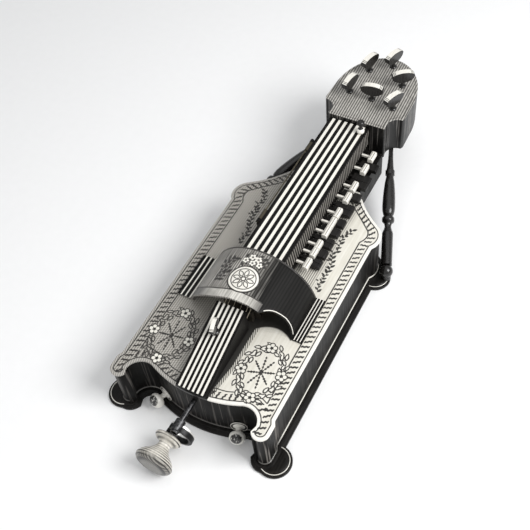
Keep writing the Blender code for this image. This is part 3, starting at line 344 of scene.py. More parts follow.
# %% Striped finishes
def striped(name, left, width, count, top, slope=0.0, slope_from=0.0, share=0.46, metal_x=None):
    """Ebony with ivory lines along Y: `count` of them, evenly across `width`."""
    made, colour = wood(name, SOOT, SOOT_LIGHT, ALONG_Y, roughness=0.42, **MATT)
    x, y, z = made.axes()
    pitch = width / (count + 0.5)
    place = (x - left) / pitch + (share - 1.0) / 2
    line = (abs(place.reckon("FRACT") - 0.5) < share / 2) * (place > 0.0) * (place < count)
    mask = line * (z - (y - slope_from) * slope > top - 0.0004)
    colour = made.blend(colour, made.blend(IVORY_OLD, IVORY_WHITE, made.noise(ALONG_Y, 500.0)),
                        mask)
    if metal_x is not None:
        colour = made.blend((0.10, 0.088, 0.065), colour, x > metal_x)
        made.feed("Metallic", x < metal_x)
    return finished(made, colour)


KEYBOX_HALF, LID_TOP = 0.035, 0.1423
TAIL_LOW, TAIL_RISE = 0.098, 0.040
tail_low, tail_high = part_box("tailpiece")
lid_wood = striped("lid_wood", -KEYBOX_HALF, 2 * KEYBOX_HALF, 6, LID_TOP,
                   metal_x=-KEYBOX_HALF - 0.0002)
tail_wood = striped("tail_wood", tail_low.x, tail_high.x - tail_low.x, 6, TAIL_LOW,
                    TAIL_RISE / (tail_high.y - tail_low.y), tail_low.y)
print("tailpiece", [round(v, 4) for v in tail_high])


def keybox_finish():
    """Ebony, with lightly scraped upright lines on the key side above the shafts."""
    made, colour = wood("keybox_wood", SOOT, SOOT_LIGHT, ALONG_Y, roughness=0.45, **MATT)
    x, y, z = made.axes()
    lines = made.hatch(y + z * 0.19, 0.0056, 0.34) * (x > KEYBOX_HALF - 0.0004) * (z > 0.106)
    return finished(made, made.blend(colour, (0.30, 0.28, 0.255), lines))


keybox_wood = keybox_finish()


# %% [markdown]
# ## Table wood
# The table is pale, fine-grained spruce. Its growth lines run with the strings and stand
# 1.6 mm apart, so they come from a ramp that repeats across X and that a noise bends a bit.
# The engraver's shading is painted into the colour: grey painted shade on the left half,
# hatched painted shade beside the keybox, and painted shadow beside the tailpiece and under
# the wheel cover.

# %% Table, binding, head and raised keys
def table_finish():
    made, colour = wood("table_wood", (0.64, 0.61, 0.53), (0.80, 0.78, 0.71), ALONG_Y,
                        scale=260.0, roughness=0.42, coat=0.1, cloud=0.3)
    x, y, _ = made.axes()
    right_tail = (x > 0.0) * (y < 0.03)
    wobble = made.noise((1.0, 0.12, 1.0), 22.0)
    late = made.between(((x + wobble * 0.012) / 0.0016).reckon("FRACT"), 0.72, 0.98)
    colour = made.blend(colour, (0.60, 0.57, 0.50), late * 0.45)
    # Painted shade: the left half is painted a hatched grey, the shade that the keybox casts.
    shade_wobble = made.noise((1.0, 0.5, 1.0), 26.0, 4.0, 0.5)
    fine = made.hatch(x, 0.0036, 0.5) * 0.7 + made.hatch(x * 0.5 - y, 0.0042, 0.5) * 0.3
    grey = made.blend((0.11, 0.10, 0.09), (0.45, 0.43, 0.39), fine)
    colour = made.blend(colour, grey, made.between(x + shade_wobble * 0.012, 0.010, -0.006) * 0.88)
    # Painted shade: hatched grey beside the keybox on the right half.
    beside = made.between(x + shade_wobble * 0.010, 0.084, 0.074) * (y > 0.03) * (x > 0.0)
    colour = made.blend(colour, (0.26, 0.245, 0.22), beside * made.hatch(x, 0.0034, 0.55))
    # Painted shadow: black beside the tailpiece's right side, with a hatched edge, and under the
    # arch of the wheel cover.
    taper = made.between(y, -0.150, -0.110, 0.0262, 0.0318)
    wedge = made.between(x - taper, 0.0006, -0.0006)
    feather = made.hatch(x + y * 0.6, 0.0030, 0.5) * made.between(x - taper, 0.0058, 0.0050)
    bow = (x - 0.0615) * (x - 0.0615) * -15.0 - 0.0275
    arch = made.between(y - bow, -0.0012, 0.0012) * (x < 0.0875)
    under = ((wedge + feather + arch) * right_tail).reckon("MINIMUM", 1.0)
    return finished(made, made.blend(colour, (0.006, 0.0055, 0.005), under * 0.97))


def binding_finish():
    """Ivory, with painted shade: hatched grey on its left half as the table is, and dark under the
    tailpiece.
    """
    made = Finish("binding_ivory", coat=0.2)
    x, y, _ = made.axes()
    lines = made.noise(ALONG_Y, 900.0, 2.0)
    cream = made.blend((0.78, 0.755, 0.70), IVORY_WHITE, made.between(lines, 0.35, 0.6))
    # Painted shade: the left half is painted a hatched grey.
    grey = made.blend((0.13, 0.12, 0.11), (0.48, 0.46, 0.42), made.hatch(x + y, 0.0034, 0.5))
    colour = made.blend(cream, grey, made.between(x, -0.024, -0.030) * 0.92)
    made.feed("Roughness", made.between(lines, 0.3, 0.7, 0.26, 0.38))
    # Painted shade: dark where the binding runs under the tailpiece.
    return finished(made, made.blend(colour, (0.010, 0.009, 0.008),
                                     (abs(x) < 0.0262) * (y < 0.0)))


def head_finish():
    """The grey face of the pegbox, with its grain along the strings, and its sides painted darker
    as shade.
    """
    made, colour = wood("head_wood", (0.32, 0.305, 0.28), (0.58, 0.56, 0.52),
                        (1.0, 0.4, 1.0), scale=300.0, roughness=0.4, cloud=0.25, coat=0.05)
    x, y, z = made.axes()
    face = made.blend(colour, (0.020, 0.018, 0.016),
                      made.hatch(x + y * 0.04, 0.0042, 0.46) * 0.85)
    flutes = made.between(made.noise(ALONG_Z, 130.0), 0.52, 0.60)
    # Painted shade: the sides are painted near-black against the lighter top face.
    side = made.blend((0.003, 0.0027, 0.0024), (0.15, 0.14, 0.13),
                      flutes * made.hatch(x + y, 0.0046, 0.45))
    return finished(made, made.blend(side, face, z > 0.1492))


def raised_key_finish():
    """Ivory heads, and ebony where the shaft goes into the keybox."""
    made = Finish("key_ivory", 0.3, coat=0.2)
    x, _, _ = made.axes()
    lines = made.noise(ALONG_X, 700.0, 2.0)
    made.bump(lines, 0.00001)
    return finished(made, made.blend((0.03, 0.028, 0.026),
                                     made.blend(IVORY_OLD, IVORY_WHITE, lines), x > 0.0365))


table_wood = table_finish()
table_light = plain("table_light", (0.66, 0.64, 0.57), (0.82, 0.80, 0.73), ALONG_Y)
binding_ivory = binding_finish()
head_wood = head_finish()
key_ivory = raised_key_finish()
print("finishes", len(bpy.data.materials))

# %% [markdown]
# ## Finishes for the CAD nodes that stay
# Where a node's shape is already right it only gets its finish.

# %% Assign finishes
KEPT = {"tail_block": block_wood, "wheel_brace": block_wood, "neck_block": side_wood,
        "wheel": block_wood, "axle": iron, "keybox": keybox_wood, "keybox_lid": lid_wood,
        "lid_hinge_pin": brass, "tailpiece": tail_wood, "bridge": bridge_wood,
        "trumpet_dog": bridge_wood, "nut": ivory}
for name, node in nodes.items():
    chosen = KEPT.get(name, gut if name.startswith("string_") else ebony)
    for slot in node.material_slots:
        slot.material = chosen
print("kept nodes with a finish of their own", len(KEPT))


# %% [markdown]
# ## Making pieces
# A few helpers carry most of the work. `piece` wraps a finished shape: it gives it a
# finish, a body to ride on and the CAD node that it stands for. `skin` puts faces between
# rows of points, which makes every tube, moulding and turned piece here. `soften` rounds a
# polyline but keeps its sharp corners, so the CAD model's coarse outline becomes smooth.

# %% Helpers for pieces
SIDES = ((-1, "left"), (1, "right"))


def as_object(name, shape):
    mesh = bpy.data.meshes.new(name)
    shape.to_mesh(mesh)
    shape.free()
    made = bpy.data.objects.new(name, mesh)
    bpy.context.scene.collection.objects.link(made)
    return made


def piece(name, shape, finish, slot, body="body", stands_for=()):
    made = as_object(name, shape)
    made.data.materials.append(finish)
    made.data.shade_smooth()
    made.data.set_sharp_from_angle(angle=math.radians(35.0))
    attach(made, body)
    if stands_for:
        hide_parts(*stands_for)
    return made


def rounded_edges(made, width, angle=35.0):
    step = made.modifiers.new("rounded_edges", "BEVEL")
    step.width, step.segments = width, 2
    step.limit_method, step.angle_limit = "ANGLE", math.radians(angle)
    step.harden_normals = False


def cut(made, shape):
    """Cuts a closed shape out of a piece for good."""
    tool = as_object("cutter", shape)
    step = made.modifiers.new("cut", "BOOLEAN")
    step.operation, step.object, step.solver = "DIFFERENCE", tool, "EXACT"
    graph = bpy.context.evaluated_depsgraph_get()
    fresh = bpy.data.meshes.new_from_object(made.evaluated_get(graph))
    made.modifiers.clear()
    made.data = fresh
    bpy.data.objects.remove(tool)


def skin(shape, rows, closed=False):
    """Faces between rings of vertices, where a ring may be a single point. The last ring
    joins the first if it is closed, and else both ends are capped."""
    for a, b in zip(rows, rows[1:] + (rows[:1] if closed else [])):
        for i in range(max(len(a), len(b))):
            corners = (a[i % len(a) - 1], a[i % len(a)], b[i % len(b)], b[i % len(b) - 1])
            shape.faces.new(list(dict.fromkeys(corners)))
    for ring in [] if closed else (rows[0], rows[-1]):
        if len(ring) > 1:
            shape.faces.new(ring)
    bmesh.ops.recalc_face_normals(shape, faces=shape.faces)
    shape.normal_update()
    return shape


def soften(points, steps=3, corner=28.0, longest=0.02, closed=True):
    """A Catmull-Rom curve through the points that keeps corners and long straights."""
    made, count = [], len(points)

    def turn(i):
        if not closed and i % count in (0, count - 1):
            return 180.0
        before, here, after = (Vector(points[(i + k) % count]) for k in (-1, 0, 1))
        return math.degrees((here - before).angle(after - here))

    for i in range(count if closed else count - 1):
        a, b = Vector(points[i]), Vector(points[(i + 1) % count])
        made.append(a)
        if (b - a).length > longest:
            continue
        first = a if turn(i) > corner else Vector(points[(i - 1) % count])
        last = b if turn(i + 1) > corner else Vector(points[(i + 2) % count])
        first = a + (first - a).normalized() * min((first - a).length, (b - a).length)
        last = b + (last - b).normalized() * min((last - b).length, (b - a).length)
        for t in [k / steps for k in range(1, steps)]:
            made.append(0.5 * ((2 * a) + (b - first) * t + (2 * first - 5 * a + 4 * b - last)
                               * t * t + (3 * a - first - 3 * b + last) * t ** 3))
    return made if closed else made + [Vector(points[-1])]


def drawn(points, steps=4, corner=60.0, longest=1.0):
    """An open line through the points, as a hand would draw it."""
    return soften(points, steps, corner, longest, closed=False)


def moved(points, distance):
    """A closed outline moved outwards, with its corners mitred."""
    made = []
    for before, here, after in zip([points[-1], *points], points, [*points[1:], points[0]]):
        first, second = (here - before).normalized(), (after - here).normalized()
        normal = Vector((first.y + second.y, -first.x - second.x)).normalized()
        mitre = max(normal.dot(Vector((first.y, -first.x))), 0.5)
        made.append(here + normal * distance / mitre)
    return made


def inset(points, distance):
    """An outline moved inwards, without the points that would fold over each other."""
    made = []
    for spot in moved(points, -distance):
        nearest = min((spot - a - (b - a) * max(0.0, min(1.0, (spot - a).dot(b - a)
                                                         / (b - a).length_squared))).length
                      for a, b in zip(points, points[1:] + points[:1]))
        if nearest > distance * 0.985:
            made.append(spot)
    return made


def flat_ring(centre, radius, sides):
    return [centre + Vector((math.cos(a), math.sin(a))) * radius
            for a in [2 * math.pi * i / sides for i in range(sides)]]


def lathe(profile, foot, direction=(0, 0, 1), sides=64, steps=4, corner=40.0):
    """A turned shape from (distance along the axis, radius) pairs."""
    turn = Vector((0, 0, 1)).rotation_difference(Vector(direction)).to_matrix().to_4x4()
    stand = Matrix.Translation(foot) @ turn
    shape, rings, axis = bmesh.new(), [], Vector((0.0, 0.0))
    for along, radius in drawn(profile, steps, corner):
        ring = flat_ring(axis, radius, sides) if radius > 1e-6 else [axis]
        rings.append([shape.verts.new(stand @ Vector((*p, along))) for p in ring])
    return skin(shape, rings)


def prism(points, low, high, into=None, stand=Matrix()):
    """A flat outline raised from one height to another."""
    shape = into or bmesh.new()
    return skin(shape, [[shape.verts.new(stand @ Vector((p[0], p[1], height))) for p in points]
                        for height in (low, high)])


def block(low, high, into=None):
    return prism([(low[0], low[1]), (high[0], low[1]), (high[0], high[1]),
                  (low[0], high[1])], low[2], high[2], into)


def swept(outline, profile):
    """A moulding: rings at (outset, height) along an outline, closed round its section."""
    shape = bmesh.new()
    return skin(shape, [[shape.verts.new((*p, height)) for p in moved(outline, outset)]
                        for outset, height in profile], closed=True)


# %% [markdown]
# ## The outline
# The table's outline is read from the CAD node, so that the dressed body follows it. The
# CAD mesh is left alone: a copy is merged, and the edges round its top face are walked.

# %% The table's outline
def outline_of(node, height):
    """The outer loop of a CAD node's flat top, counter-clockwise, from a merged copy."""
    shape = bmesh.new()
    shape.from_mesh(nodes[node].data)
    bmesh.ops.remove_doubles(shape, verts=shape.verts, dist=0.00001)
    top = {f for f in shape.faces if f.normal.z > 0.9
           and abs(f.calc_center_median().z - height) < 0.0004}
    links = {}
    for edge in shape.edges:
        if sum(f in top for f in edge.link_faces) == 1:
            for end, other in (edge.verts, reversed(edge.verts)):
                links.setdefault(end.index, []).append(other.index)
    places = {v.index: v.co.xy.copy() for v in shape.verts}
    shape.free()
    loops, left = [], set(links)
    while left:
        start = min(left)
        loop, before, here = [start], None, start
        while True:
            before, here = here, next(n for n in links[here] if n != before)
            if here == start:
                break
            loop.append(here)
        left -= set(loop)
        loops.append([places[i] for i in loop])
    longest = max(loops, key=lambda points: sum((b - a).length
                                                for a, b in zip(points, points[1:])))
    area = sum(longest[i - 1].cross(longest[i]) for i in range(len(longest)))
    return longest if area > 0 else longest[::-1]


TABLE_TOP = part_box("soundboard")[1].z
NEAREST_CORNERS = 0.0006
corners = outline_of("soundboard", TABLE_TOP)
corners = [p for i, p in enumerate(corners) if (p - corners[i - 1]).length > NEAREST_CORNERS]
body_line = soften(corners, corner=24.0)
print("table outline", len(body_line), "points")

# %% [markdown]
# ## The body
# The wall is one bent board under the table's edge. Its outline is the table's, moved in
# by the overhang, and `swept` makes a closed tube of it. The back is a stepped moulding:
# the same tool with a longer profile, and a flat floor inside.

# %% Table, wall and back
BINDING, OVERHANG, WALL = 0.0055, 0.003, 0.0035
WHEEL_SLOT = ((-0.0555, -0.0055, 0.08), (0.0555, 0.0155, 0.1))
BEAD = ((0.0, 0.0118), (0.0009, 0.0114), (0.0012, 0.0106), (0.0009, 0.0098), (0.0, 0.0094),
        (-0.0006, 0.0106))
NOSE = ((-0.003, 0.0), (0.0072, 0.0), (0.0079, 0.0008), (0.0080, 0.0036), (0.0076, 0.0046),
        (0.0066, 0.0050), (0.0040, 0.0051), (0.0031, 0.0056), (0.0029, 0.0068),
        (0.0024, 0.0077), (0.0014, 0.0080), (-0.003, 0.0080))


def table_piece():
    """An ivory-edged board with the spruce let into it, and the wheel's slot through both."""
    made = piece("table_binding", prism(body_line, TABLE_TOP - 0.004, TABLE_TOP - 0.00005),
                 binding_ivory, "ivory", stands_for=["soundboard"])
    rounded_edges(made, 0.0007, 60.0)
    cut(made, block(*WHEEL_SLOT))
    made = piece("table", prism(inset(body_line, BINDING), TABLE_TOP - 0.0039,
                                TABLE_TOP + 0.00005), table_wood, "table_wood")
    cut(made, block(*WHEEL_SLOT))


def bead_highlight_finish():
    """Pale ivory colour on the wall's bead as a painted highlight, painted darker round the tail as
    shade.
    """
    made = Finish("bead_highlight_ivory", 0.35, coat=0.2)
    _, y, _ = made.axes()
    cream = made.blend((0.70, 0.67, 0.60), IVORY_WHITE, made.noise(ALONG_Y, 500.0))
    # Painted shade: the bead is darker round the tail.
    return finished(made, made.blend(cream, (0.05, 0.046, 0.042),
                                     made.between(y, -0.140, -0.158) * 0.94))


def wall_piece():
    low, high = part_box("side_wall")
    line = moved(body_line, -OVERHANG)
    profile = ((0.0, low.z), (0.0, high.z), (-WALL, high.z), (-WALL, low.z))
    piece("side_boards", swept(line, profile), side_wood, "side_wood",
          stands_for=["side_wall"])
    # The bead's pale colour is a painted highlight along the top of the wall.
    piece("side_stringing", swept(line, BEAD), bead_highlight_finish(), "ivory")


def back_piece():
    """A plinth with a rounded nose, a cove and an upper bead, all round the body."""
    shape = prism(moved(body_line, -0.0010), 0.0001, 0.0078, swept(body_line, NOSE))
    piece("back_board", shape, moulding_wood, "side_wood", stands_for=["back_plate"])


table_piece()
wall_piece()
back_piece()


# %% [markdown]
# ## Feet
# Each corner of the plinth swells into a round foot. The two at the head end also carry a
# ball that the turned strut sits on, and are turned in one with it.

# %% Feet
FOOT = ((0.0005, 0.0), (0.0005, 0.0252), (0.0010, 0.0259), (0.0036, 0.0260), (0.0045, 0.0252),
        (0.0048, 0.0236), (0.0050, 0.0216), (0.0056, 0.0211), (0.0068, 0.0208),
        (0.0075, 0.0198), (0.0076, 0.0))
FOOT_LINE = ((0.0050, 0.0222), (0.0058, 0.0226), (0.0062, 0.0220), (0.0058, 0.0214),
             (0.0050, 0.0212))
FOOT_X, FOOT_Y = 0.128, {"tail": -0.178, "head": 0.179}
STRUT_X, STRUT_Y, BALL_Z, BALL = 0.145, 0.184, 0.022, 0.011


def feet():
    neck = [(0.004, 0.0086), (0.010, 0.0082), (0.0135, 0.0072)]
    ball = [(BALL_Z + BALL * math.sin(math.radians(a)), BALL * math.cos(math.radians(a)))
            for a in range(-42, 90, 12)] + [(BALL_Z + BALL, 0.0)]
    for side, hand in SIDES:
        for end, y in FOOT_Y.items():
            for name, profile, finish, slot in (("foot", FOOT, moulding_wood, "side_wood"),
                                                ("foot_line", FOOT_LINE, ivory, "ivory")):
                piece(f"{name}_{end}_{hand}", lathe(profile, (side * FOOT_X, y, 0.0)), finish,
                      slot)
        piece(f"strut_foot_{hand}", lathe(neck + ball, (side * STRUT_X, STRUT_Y, 0.0),
                                          sides=48, steps=2), ebony_upright, "side_wood")


feet()
print("feet stand at", FOOT_X, list(FOOT_Y.values()))


# %% [markdown]
# ## Turned pieces
# Struts, buttons, knobs and the crank's handle come off a lathe, so each is one profile.
# The numbers are shares of the piece's own length and greatest radius.

# %% Struts
STRUT_SHARES = ((0.0, 0.36), (0.10, 0.42), (0.195, 0.60), (0.20, 0.74), (0.235, 0.74),
                (0.24, 0.55), (0.30, 0.78), (0.42, 0.98), (0.52, 1.0), (0.56, 0.80),
                (0.57, 0.62), (0.585, 0.94), (0.615, 0.94), (0.63, 0.62), (0.66, 0.52),
                (0.70, 0.80), (0.71, 0.86), (0.955, 0.86))
STRUT_RADIUS, HEAD_UNDERSIDE = 0.0105, 0.0837


def scaled(shares, length, radius):
    return [(a * length, b * radius) for a, b in shares]


def struts():
    """Each strut's top is sawn off level, where the head rests on it."""
    for side, hand in SIDES:
        foot = Vector((side * STRUT_X, STRUT_Y, BALL_Z))
        head = Vector((0.012 + side * 0.054, 0.388, 0.084))
        run = foot - head
        shape = lathe(scaled(STRUT_SHARES, run.length, STRUT_RADIUS), head, run, 48, 3, 50.0)
        bmesh.ops.bisect_plane(shape, geom=shape.verts[:] + shape.edges[:] + shape.faces[:],
                               plane_co=(0, 0, HEAD_UNDERSIDE), plane_no=(0, 0, 1),
                               clear_outer=True)
        rim = [e for e in shape.edges if e.is_boundary]
        bmesh.ops.contextual_create(shape, geom=rim)
        piece(f"turned_strut_{hand}", shape, ebony_upright, "ebony",
              stands_for=[f"strut_{hand}"])


struts()

# %% [markdown]
# ## Strap buttons
# The tail wall bulges in an arc. Two ivory buttons point straight out of it, each on a dark
# plate with an ivory ring.

# %% Strap buttons
BUTTON_SHARES = ((0.0, 0.78), (0.05, 0.78), (0.08, 0.66), (0.13, 0.36), (0.30, 0.30),
                 (0.36, 0.40), (0.41, 0.72), (0.50, 0.94), (0.64, 1.0), (0.80, 0.90),
                 (0.92, 0.62), (0.985, 0.25), (1.0, 0.0))
PLATE = ((0.0, 0.0), (0.0, 0.0125), (0.0012, 0.0122), (0.0016, 0.0105), (0.0013, 0.0))
PLATE_RING = ((0.0010, 0.0118), (0.0019, 0.0119), (0.0020, 0.0124), (0.0014, 0.0128),
              (0.0006, 0.0126))
BULGE_Y, BULGE_HALF, BULGE_DEPTH = -0.173, 0.070, 0.01385
BUTTON_X, BUTTON_Z, BUTTON_LENGTH, BUTTON_RADIUS = 0.062, 0.021, 0.028, 0.012


def button_seat(side):
    """Where a strap button meets the tail's curved wall, and the way that it points."""
    radius = (BULGE_HALF ** 2 + BULGE_DEPTH ** 2) / (2 * BULGE_DEPTH)
    wall = radius - OVERHANG
    out = Vector((side * BUTTON_X, -math.sqrt(wall ** 2 - BUTTON_X ** 2), 0)).normalized()
    return Vector((0, BULGE_Y + radius, BUTTON_Z)) + out * wall, out


def button_finish():
    """White ivory with a dark patch on the upper front of each ball."""
    made = Finish("button_ivory", 0.3, coat=0.25)
    x, y, z = made.axes()
    seat, out = button_seat(1)
    middle = seat + out * 0.0182
    patch = out * 0.78 + Vector((0, 0, 0.62))
    toward = ((abs(x) - middle.x) * patch.x + (y - middle.y) * patch.y
              + (z - middle.z) * patch.z)
    face = made.between(toward + made.noise(EVENLY, 420.0) * 0.002, 0.0080, 0.0092)
    patch_streaks = made.between(made.noise((1.0, 1.0, 0.15), 520.0, 2.0), 0.30, 0.44)
    return finished(made, made.blend(IVORY_WHITE, (0.012, 0.011, 0.010), face * patch_streaks))


def strap_buttons():
    finish = button_finish()
    button = scaled(BUTTON_SHARES, BUTTON_LENGTH, BUTTON_RADIUS)
    for side, hand in SIDES:
        seat, out = button_seat(side)
        foot, node = seat + out * 0.0003, f"strap_button_{hand}"
        piece("turned_" + node, lathe(button, foot, out, 48, 3), finish, "ivory",
              stands_for=[node])
        piece("escutcheon_" + node, lathe(PLATE, foot, out, 48, 2), moulding_wood, "side_wood")
        piece("escutcheon_ring_" + node, lathe(PLATE_RING, foot, out, 48, 2), ivory, "ivory")


strap_buttons()
print("button seat", [round(v, 4) for v in button_seat(1)[0]])


# %% [markdown]
# ## Crank
# The crank is a flat iron bent to a C on its edge, with a hub on the axle at its upper end
# and a pin through its lower one.

# %% Crank
AXLE_Z, CRANK_Y, CRANK_R, CRANK_WIDTH, CRANK_HALF = 0.066, -0.2155, 0.020, 0.011, 0.0025
PIN_TURN = math.radians(-140)
PIN_X, PIN_Z = CRANK_R * math.cos(PIN_TURN), AXLE_Z - CRANK_R + CRANK_R * math.sin(PIN_TURN)
HUB = ((0.0, 0.0042), (0.0, 0.0069), (0.0006, 0.0075), (0.0165, 0.0075), (0.0172, 0.0068),
       (0.0172, 0.0042))
EYE_AND_PIN = ((0.0, 0.0), (0.0, 0.0060), (0.0006, 0.0065), (0.0122, 0.0065),
               (0.0130, 0.0058), (0.0130, 0.0035), (0.0600, 0.0035), (0.0600, 0.0))
AXLE_CAP = ((-0.003, 0.0), (-0.003, 0.0052), (-0.0024, 0.0060), (0.0, 0.0060), (0.0, 0.0))


def band_finish():
    """Black iron, with a painted highlight along the edge nearest the body."""
    made = Finish("band_iron", 0.4, metallic=0.6, specular=0.4)
    _, y, _ = made.axes()
    skin_noise = made.noise(EVENLY, 260.0, 4.0)
    black = made.blend((0.006, 0.006, 0.006), (0.030, 0.030, 0.031), skin_noise)
    # Painted highlight: a pale strip along the band's edge nearest the body.
    painted_highlight = made.between(y + skin_noise * 0.0010, CRANK_Y + 0.0024, CRANK_Y + 0.0034)
    made.bump(skin_noise, 0.00006)
    return finished(made, made.blend(black, (0.80, 0.79, 0.77), painted_highlight))


def crank():
    centre = Vector((0.0, AXLE_Z - CRANK_R))
    arc = [math.radians(122 - 290 * i / 64) for i in range(65)]
    ring = [centre + Vector((math.cos(a), math.sin(a))) * radius
            for radius, turns in ((CRANK_R + CRANK_HALF, arc), (CRANK_R - CRANK_HALF, arc[::-1]))
            for a in turns]
    shape = prism(ring, -CRANK_Y - CRANK_WIDTH / 2, -CRANK_Y + CRANK_WIDTH / 2,
                  stand=Matrix.Rotation(math.radians(90.0), 4, "X"))
    sharp = [e for e in shape.edges if e.calc_face_angle(0.0) > math.radians(60)]
    bmesh.ops.bevel(shape, geom=sharp, offset=0.0008, segments=2, affect="EDGES")
    piece("crank_band", shape, band_finish(), "iron", "drive", ["crank_arm"])
    for name, profile, x, ahead, z, way, sides, steps in (
            ("crank_hub", HUB, 0.0, 0.0107, AXLE_Z, -1, 48, 2),
            ("crank_pin", EYE_AND_PIN, PIN_X, 0.0065, PIN_Z, -1, 48, 2),
            ("axle_cap", AXLE_CAP, 0.0, -0.0068, AXLE_Z, 1, 6, 1)):
        piece(name, lathe(profile, (x, CRANK_Y + ahead, z), (0, way, 0), sides, steps), iron,
              "iron", "drive")


crank()
print("crank pin", round(PIN_X, 4), round(PIN_Z, 4))

# %% [markdown]
# ## Handle
# The pin carries the turned handle, which spins as the hand goes round.

# %% Handle
KNOB_RADIUS = 0.029
KNOB_SHARES = ((0.0, 0.13), (0.0, 0.60), (0.02, 0.69), (0.055, 0.715), (0.085, 0.70),
               (0.105, 0.64), (0.125, 0.655), (0.15, 0.60), (0.17, 0.48), (0.24, 0.335),
               (0.33, 0.33), (0.42, 0.41), (0.52, 0.57), (0.63, 0.78), (0.70, 0.895),
               (0.715, 0.905), (0.725, 0.895), (0.77, 0.965), (0.82, 1.0), (0.845, 0.995),
               (0.86, 0.965), (0.875, 0.975), (0.92, 0.92), (0.935, 0.88), (0.95, 0.86),
               (0.985, 0.70), (1.0, 0.46), (1.004, 0.20), (1.005, 0.0))


def handle_wood(end_y):
    """Pale boxwood with the fine rings that a lathe leaves, the rings darkened towards both sides
    and a hatched band at the far end, both as painted shade.
    """
    made, colour = wood("handle_wood", (0.52, 0.49, 0.43), (0.80, 0.77, 0.70), ALONG_Y,
                        scale=300.0, roughness=0.32, coat=0.15)
    x, y, z = made.axes()
    rings = made.noise((0.0, 1.0, 0.0), 620.0)
    turned = made.hatch(y + rings * 0.0030, 0.0040, 0.42)
    # Painted shade: the rings darken towards both sides of the knob.
    shaded = made.between(abs(x - PIN_X - 0.003), 0.002, 0.016, 0.30, 1.0)
    colour = made.blend(colour, (0.012, 0.011, 0.010), turned * shaded)
    # Painted shade: a hatched dark band round the far end.
    end_shade_hatch = made.hatch(z * 0.8 + x * 0.6, 0.0038, 0.5) * 0.30 + 0.62
    made.bump(rings, 0.0002)
    return finished(made, made.blend(colour, (0.025, 0.023, 0.021),
                                     made.between(y, end_y + 0.011, end_y + 0.005) * end_shade_hatch))


def handle():
    low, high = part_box("handle_knob")
    profile = scaled(KNOB_SHARES, high.y - low.y, KNOB_RADIUS)
    piece("turned_handle", lathe(profile, (PIN_X, high.y, PIN_Z), (0, -1, 0), 72, 3, 60.0),
          handle_wood(low.y), "boxwood", "handle", ["handle_knob"])


handle()


# %% [markdown]
# ## Pegs
# A peg's head is a thick paddle with a curved crown, which is capped by a strip of ivory
# with two thin black lines near each end. The paddle is an outline raised to its
# thickness and bevelled, and the strip follows the same crown a hair above it.

# %% Pegs
PEG_TURNS = {"peg_1": 80.0, "peg_2": 8.0, "peg_3": 66.0, "peg_4": 74.0, "peg_5": 35.0,
             "peg_6": 71.0, "tirant_peg": 105.0}
PEG_HALF, PEG_RISE, PEG_THICK, WAIST_SHARE = 0.0195, 0.021, 0.010, 0.62
STRIP_SHARES = ((-0.90, -0.84), (-0.79, -0.73), (-0.68, 0.68), (0.73, 0.79), (0.84, 0.90))


def bow(share):
    return math.sqrt(max(0.0, 1 - share ** 2))


def crown(share):
    return Vector((PEG_HALF * share,
                   PEG_RISE * (WAIST_SHARE + (1 - WAIST_SHARE) * bow(share))))


def waist(share):
    return Vector((PEG_HALF * share, PEG_RISE * WAIST_SHARE * (1 - bow(share))))


def paddle(size, stand):
    turns = [math.pi * i / 28 for i in range(29)]
    ring = [crown(-math.cos(a)) for a in turns] + [waist(math.cos(a)) for a in turns[1:-1]]
    shape = prism(ring, -PEG_THICK / 2, PEG_THICK / 2, stand=stand)
    rim = [e for e in shape.edges if 60 < math.degrees(e.calc_face_angle(0.0)) < 120
           and len({len(f.verts) > 8 for f in e.link_faces}) == 2]
    bmesh.ops.bevel(shape, geom=rim, offset=0.0009 * size, segments=2, affect="EDGES")
    return shape


def crown_strip(stand):
    strip = bmesh.new()
    for start, end in STRIP_SHARES:
        steps = 16 if end - start > 1 else 2
        line = [crown(start + (end - start) * i / steps) for i in range(steps + 1)]
        prism([p + Vector((0.0, 0.00035)) for p in line]
              + [p - Vector((0.0, 0.0004)) for p in reversed(line)],
              -PEG_THICK / 2 + 0.0006, PEG_THICK / 2 - 0.0006, strip, stand)
    return strip


def stem(shaft, size):
    """The shaft in the head, a collar on its face and the neck under the paddle."""
    seat, neck = -0.011 * size, 0.0055 * size
    return [(shaft, 0.0), (shaft, 0.0036), (shaft + 0.001, 0.004), (seat, 0.0041),
            (seat + 0.0002, 0.0060), (seat + 0.0020, 0.0062), (seat + 0.0030, 0.0054),
            (seat + 0.0040, 0.0034), (-0.0020, 0.0030), (0.0010, 0.0034), (neck, 0.0034),
            (neck, 0.0)]


def pegs():
    for name, turn in PEG_TURNS.items():
        low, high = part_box(name)
        size, body = ((0.7, "trumpet_peg") if name == "tirant_peg"
                      else (1.0, name.replace("peg_", "peg_body_")))
        foot = Vector(((low.x + high.x) / 2, (low.y + high.y) / 2, high.z - PEG_RISE * size))
        stand = (Matrix.Translation(foot) @ Matrix.Rotation(math.radians(turn), 4, "Z")
                 @ Matrix.Rotation(math.radians(90.0), 4, "X") @ Matrix.Scale(size, 4))
        piece(name + "_paddle", paddle(size, stand), ebony_upright, "ebony", body, [name])
        piece(name + "_stem", lathe(stem(low.z - foot.z, size), foot, sides=32, steps=2),
              ebony_upright, "ebony", body)
        piece(name + "_ivory", crown_strip(stand), ivory, "ivory", body)


pegs()
print("pegs", len(PEG_TURNS))


# %% [markdown]
# ## Keys
# Each key is a thin shaft through both walls of the keybox, a head to press and two small
# tangents that touch the strings. The lower keys are ebony, the raised ones ivory. Real
# keys are filed by hand, so every edge is rounded.

# %% Keys
SHAFT_HALF, SHAFT_HEIGHT, TANGENT_HALF, TANGENT_TOP = 0.00175, 0.0045, 0.0009, 0.1245
TANGENTS = (0.0058 - 0.0055, 0.0058 + 0.0055)


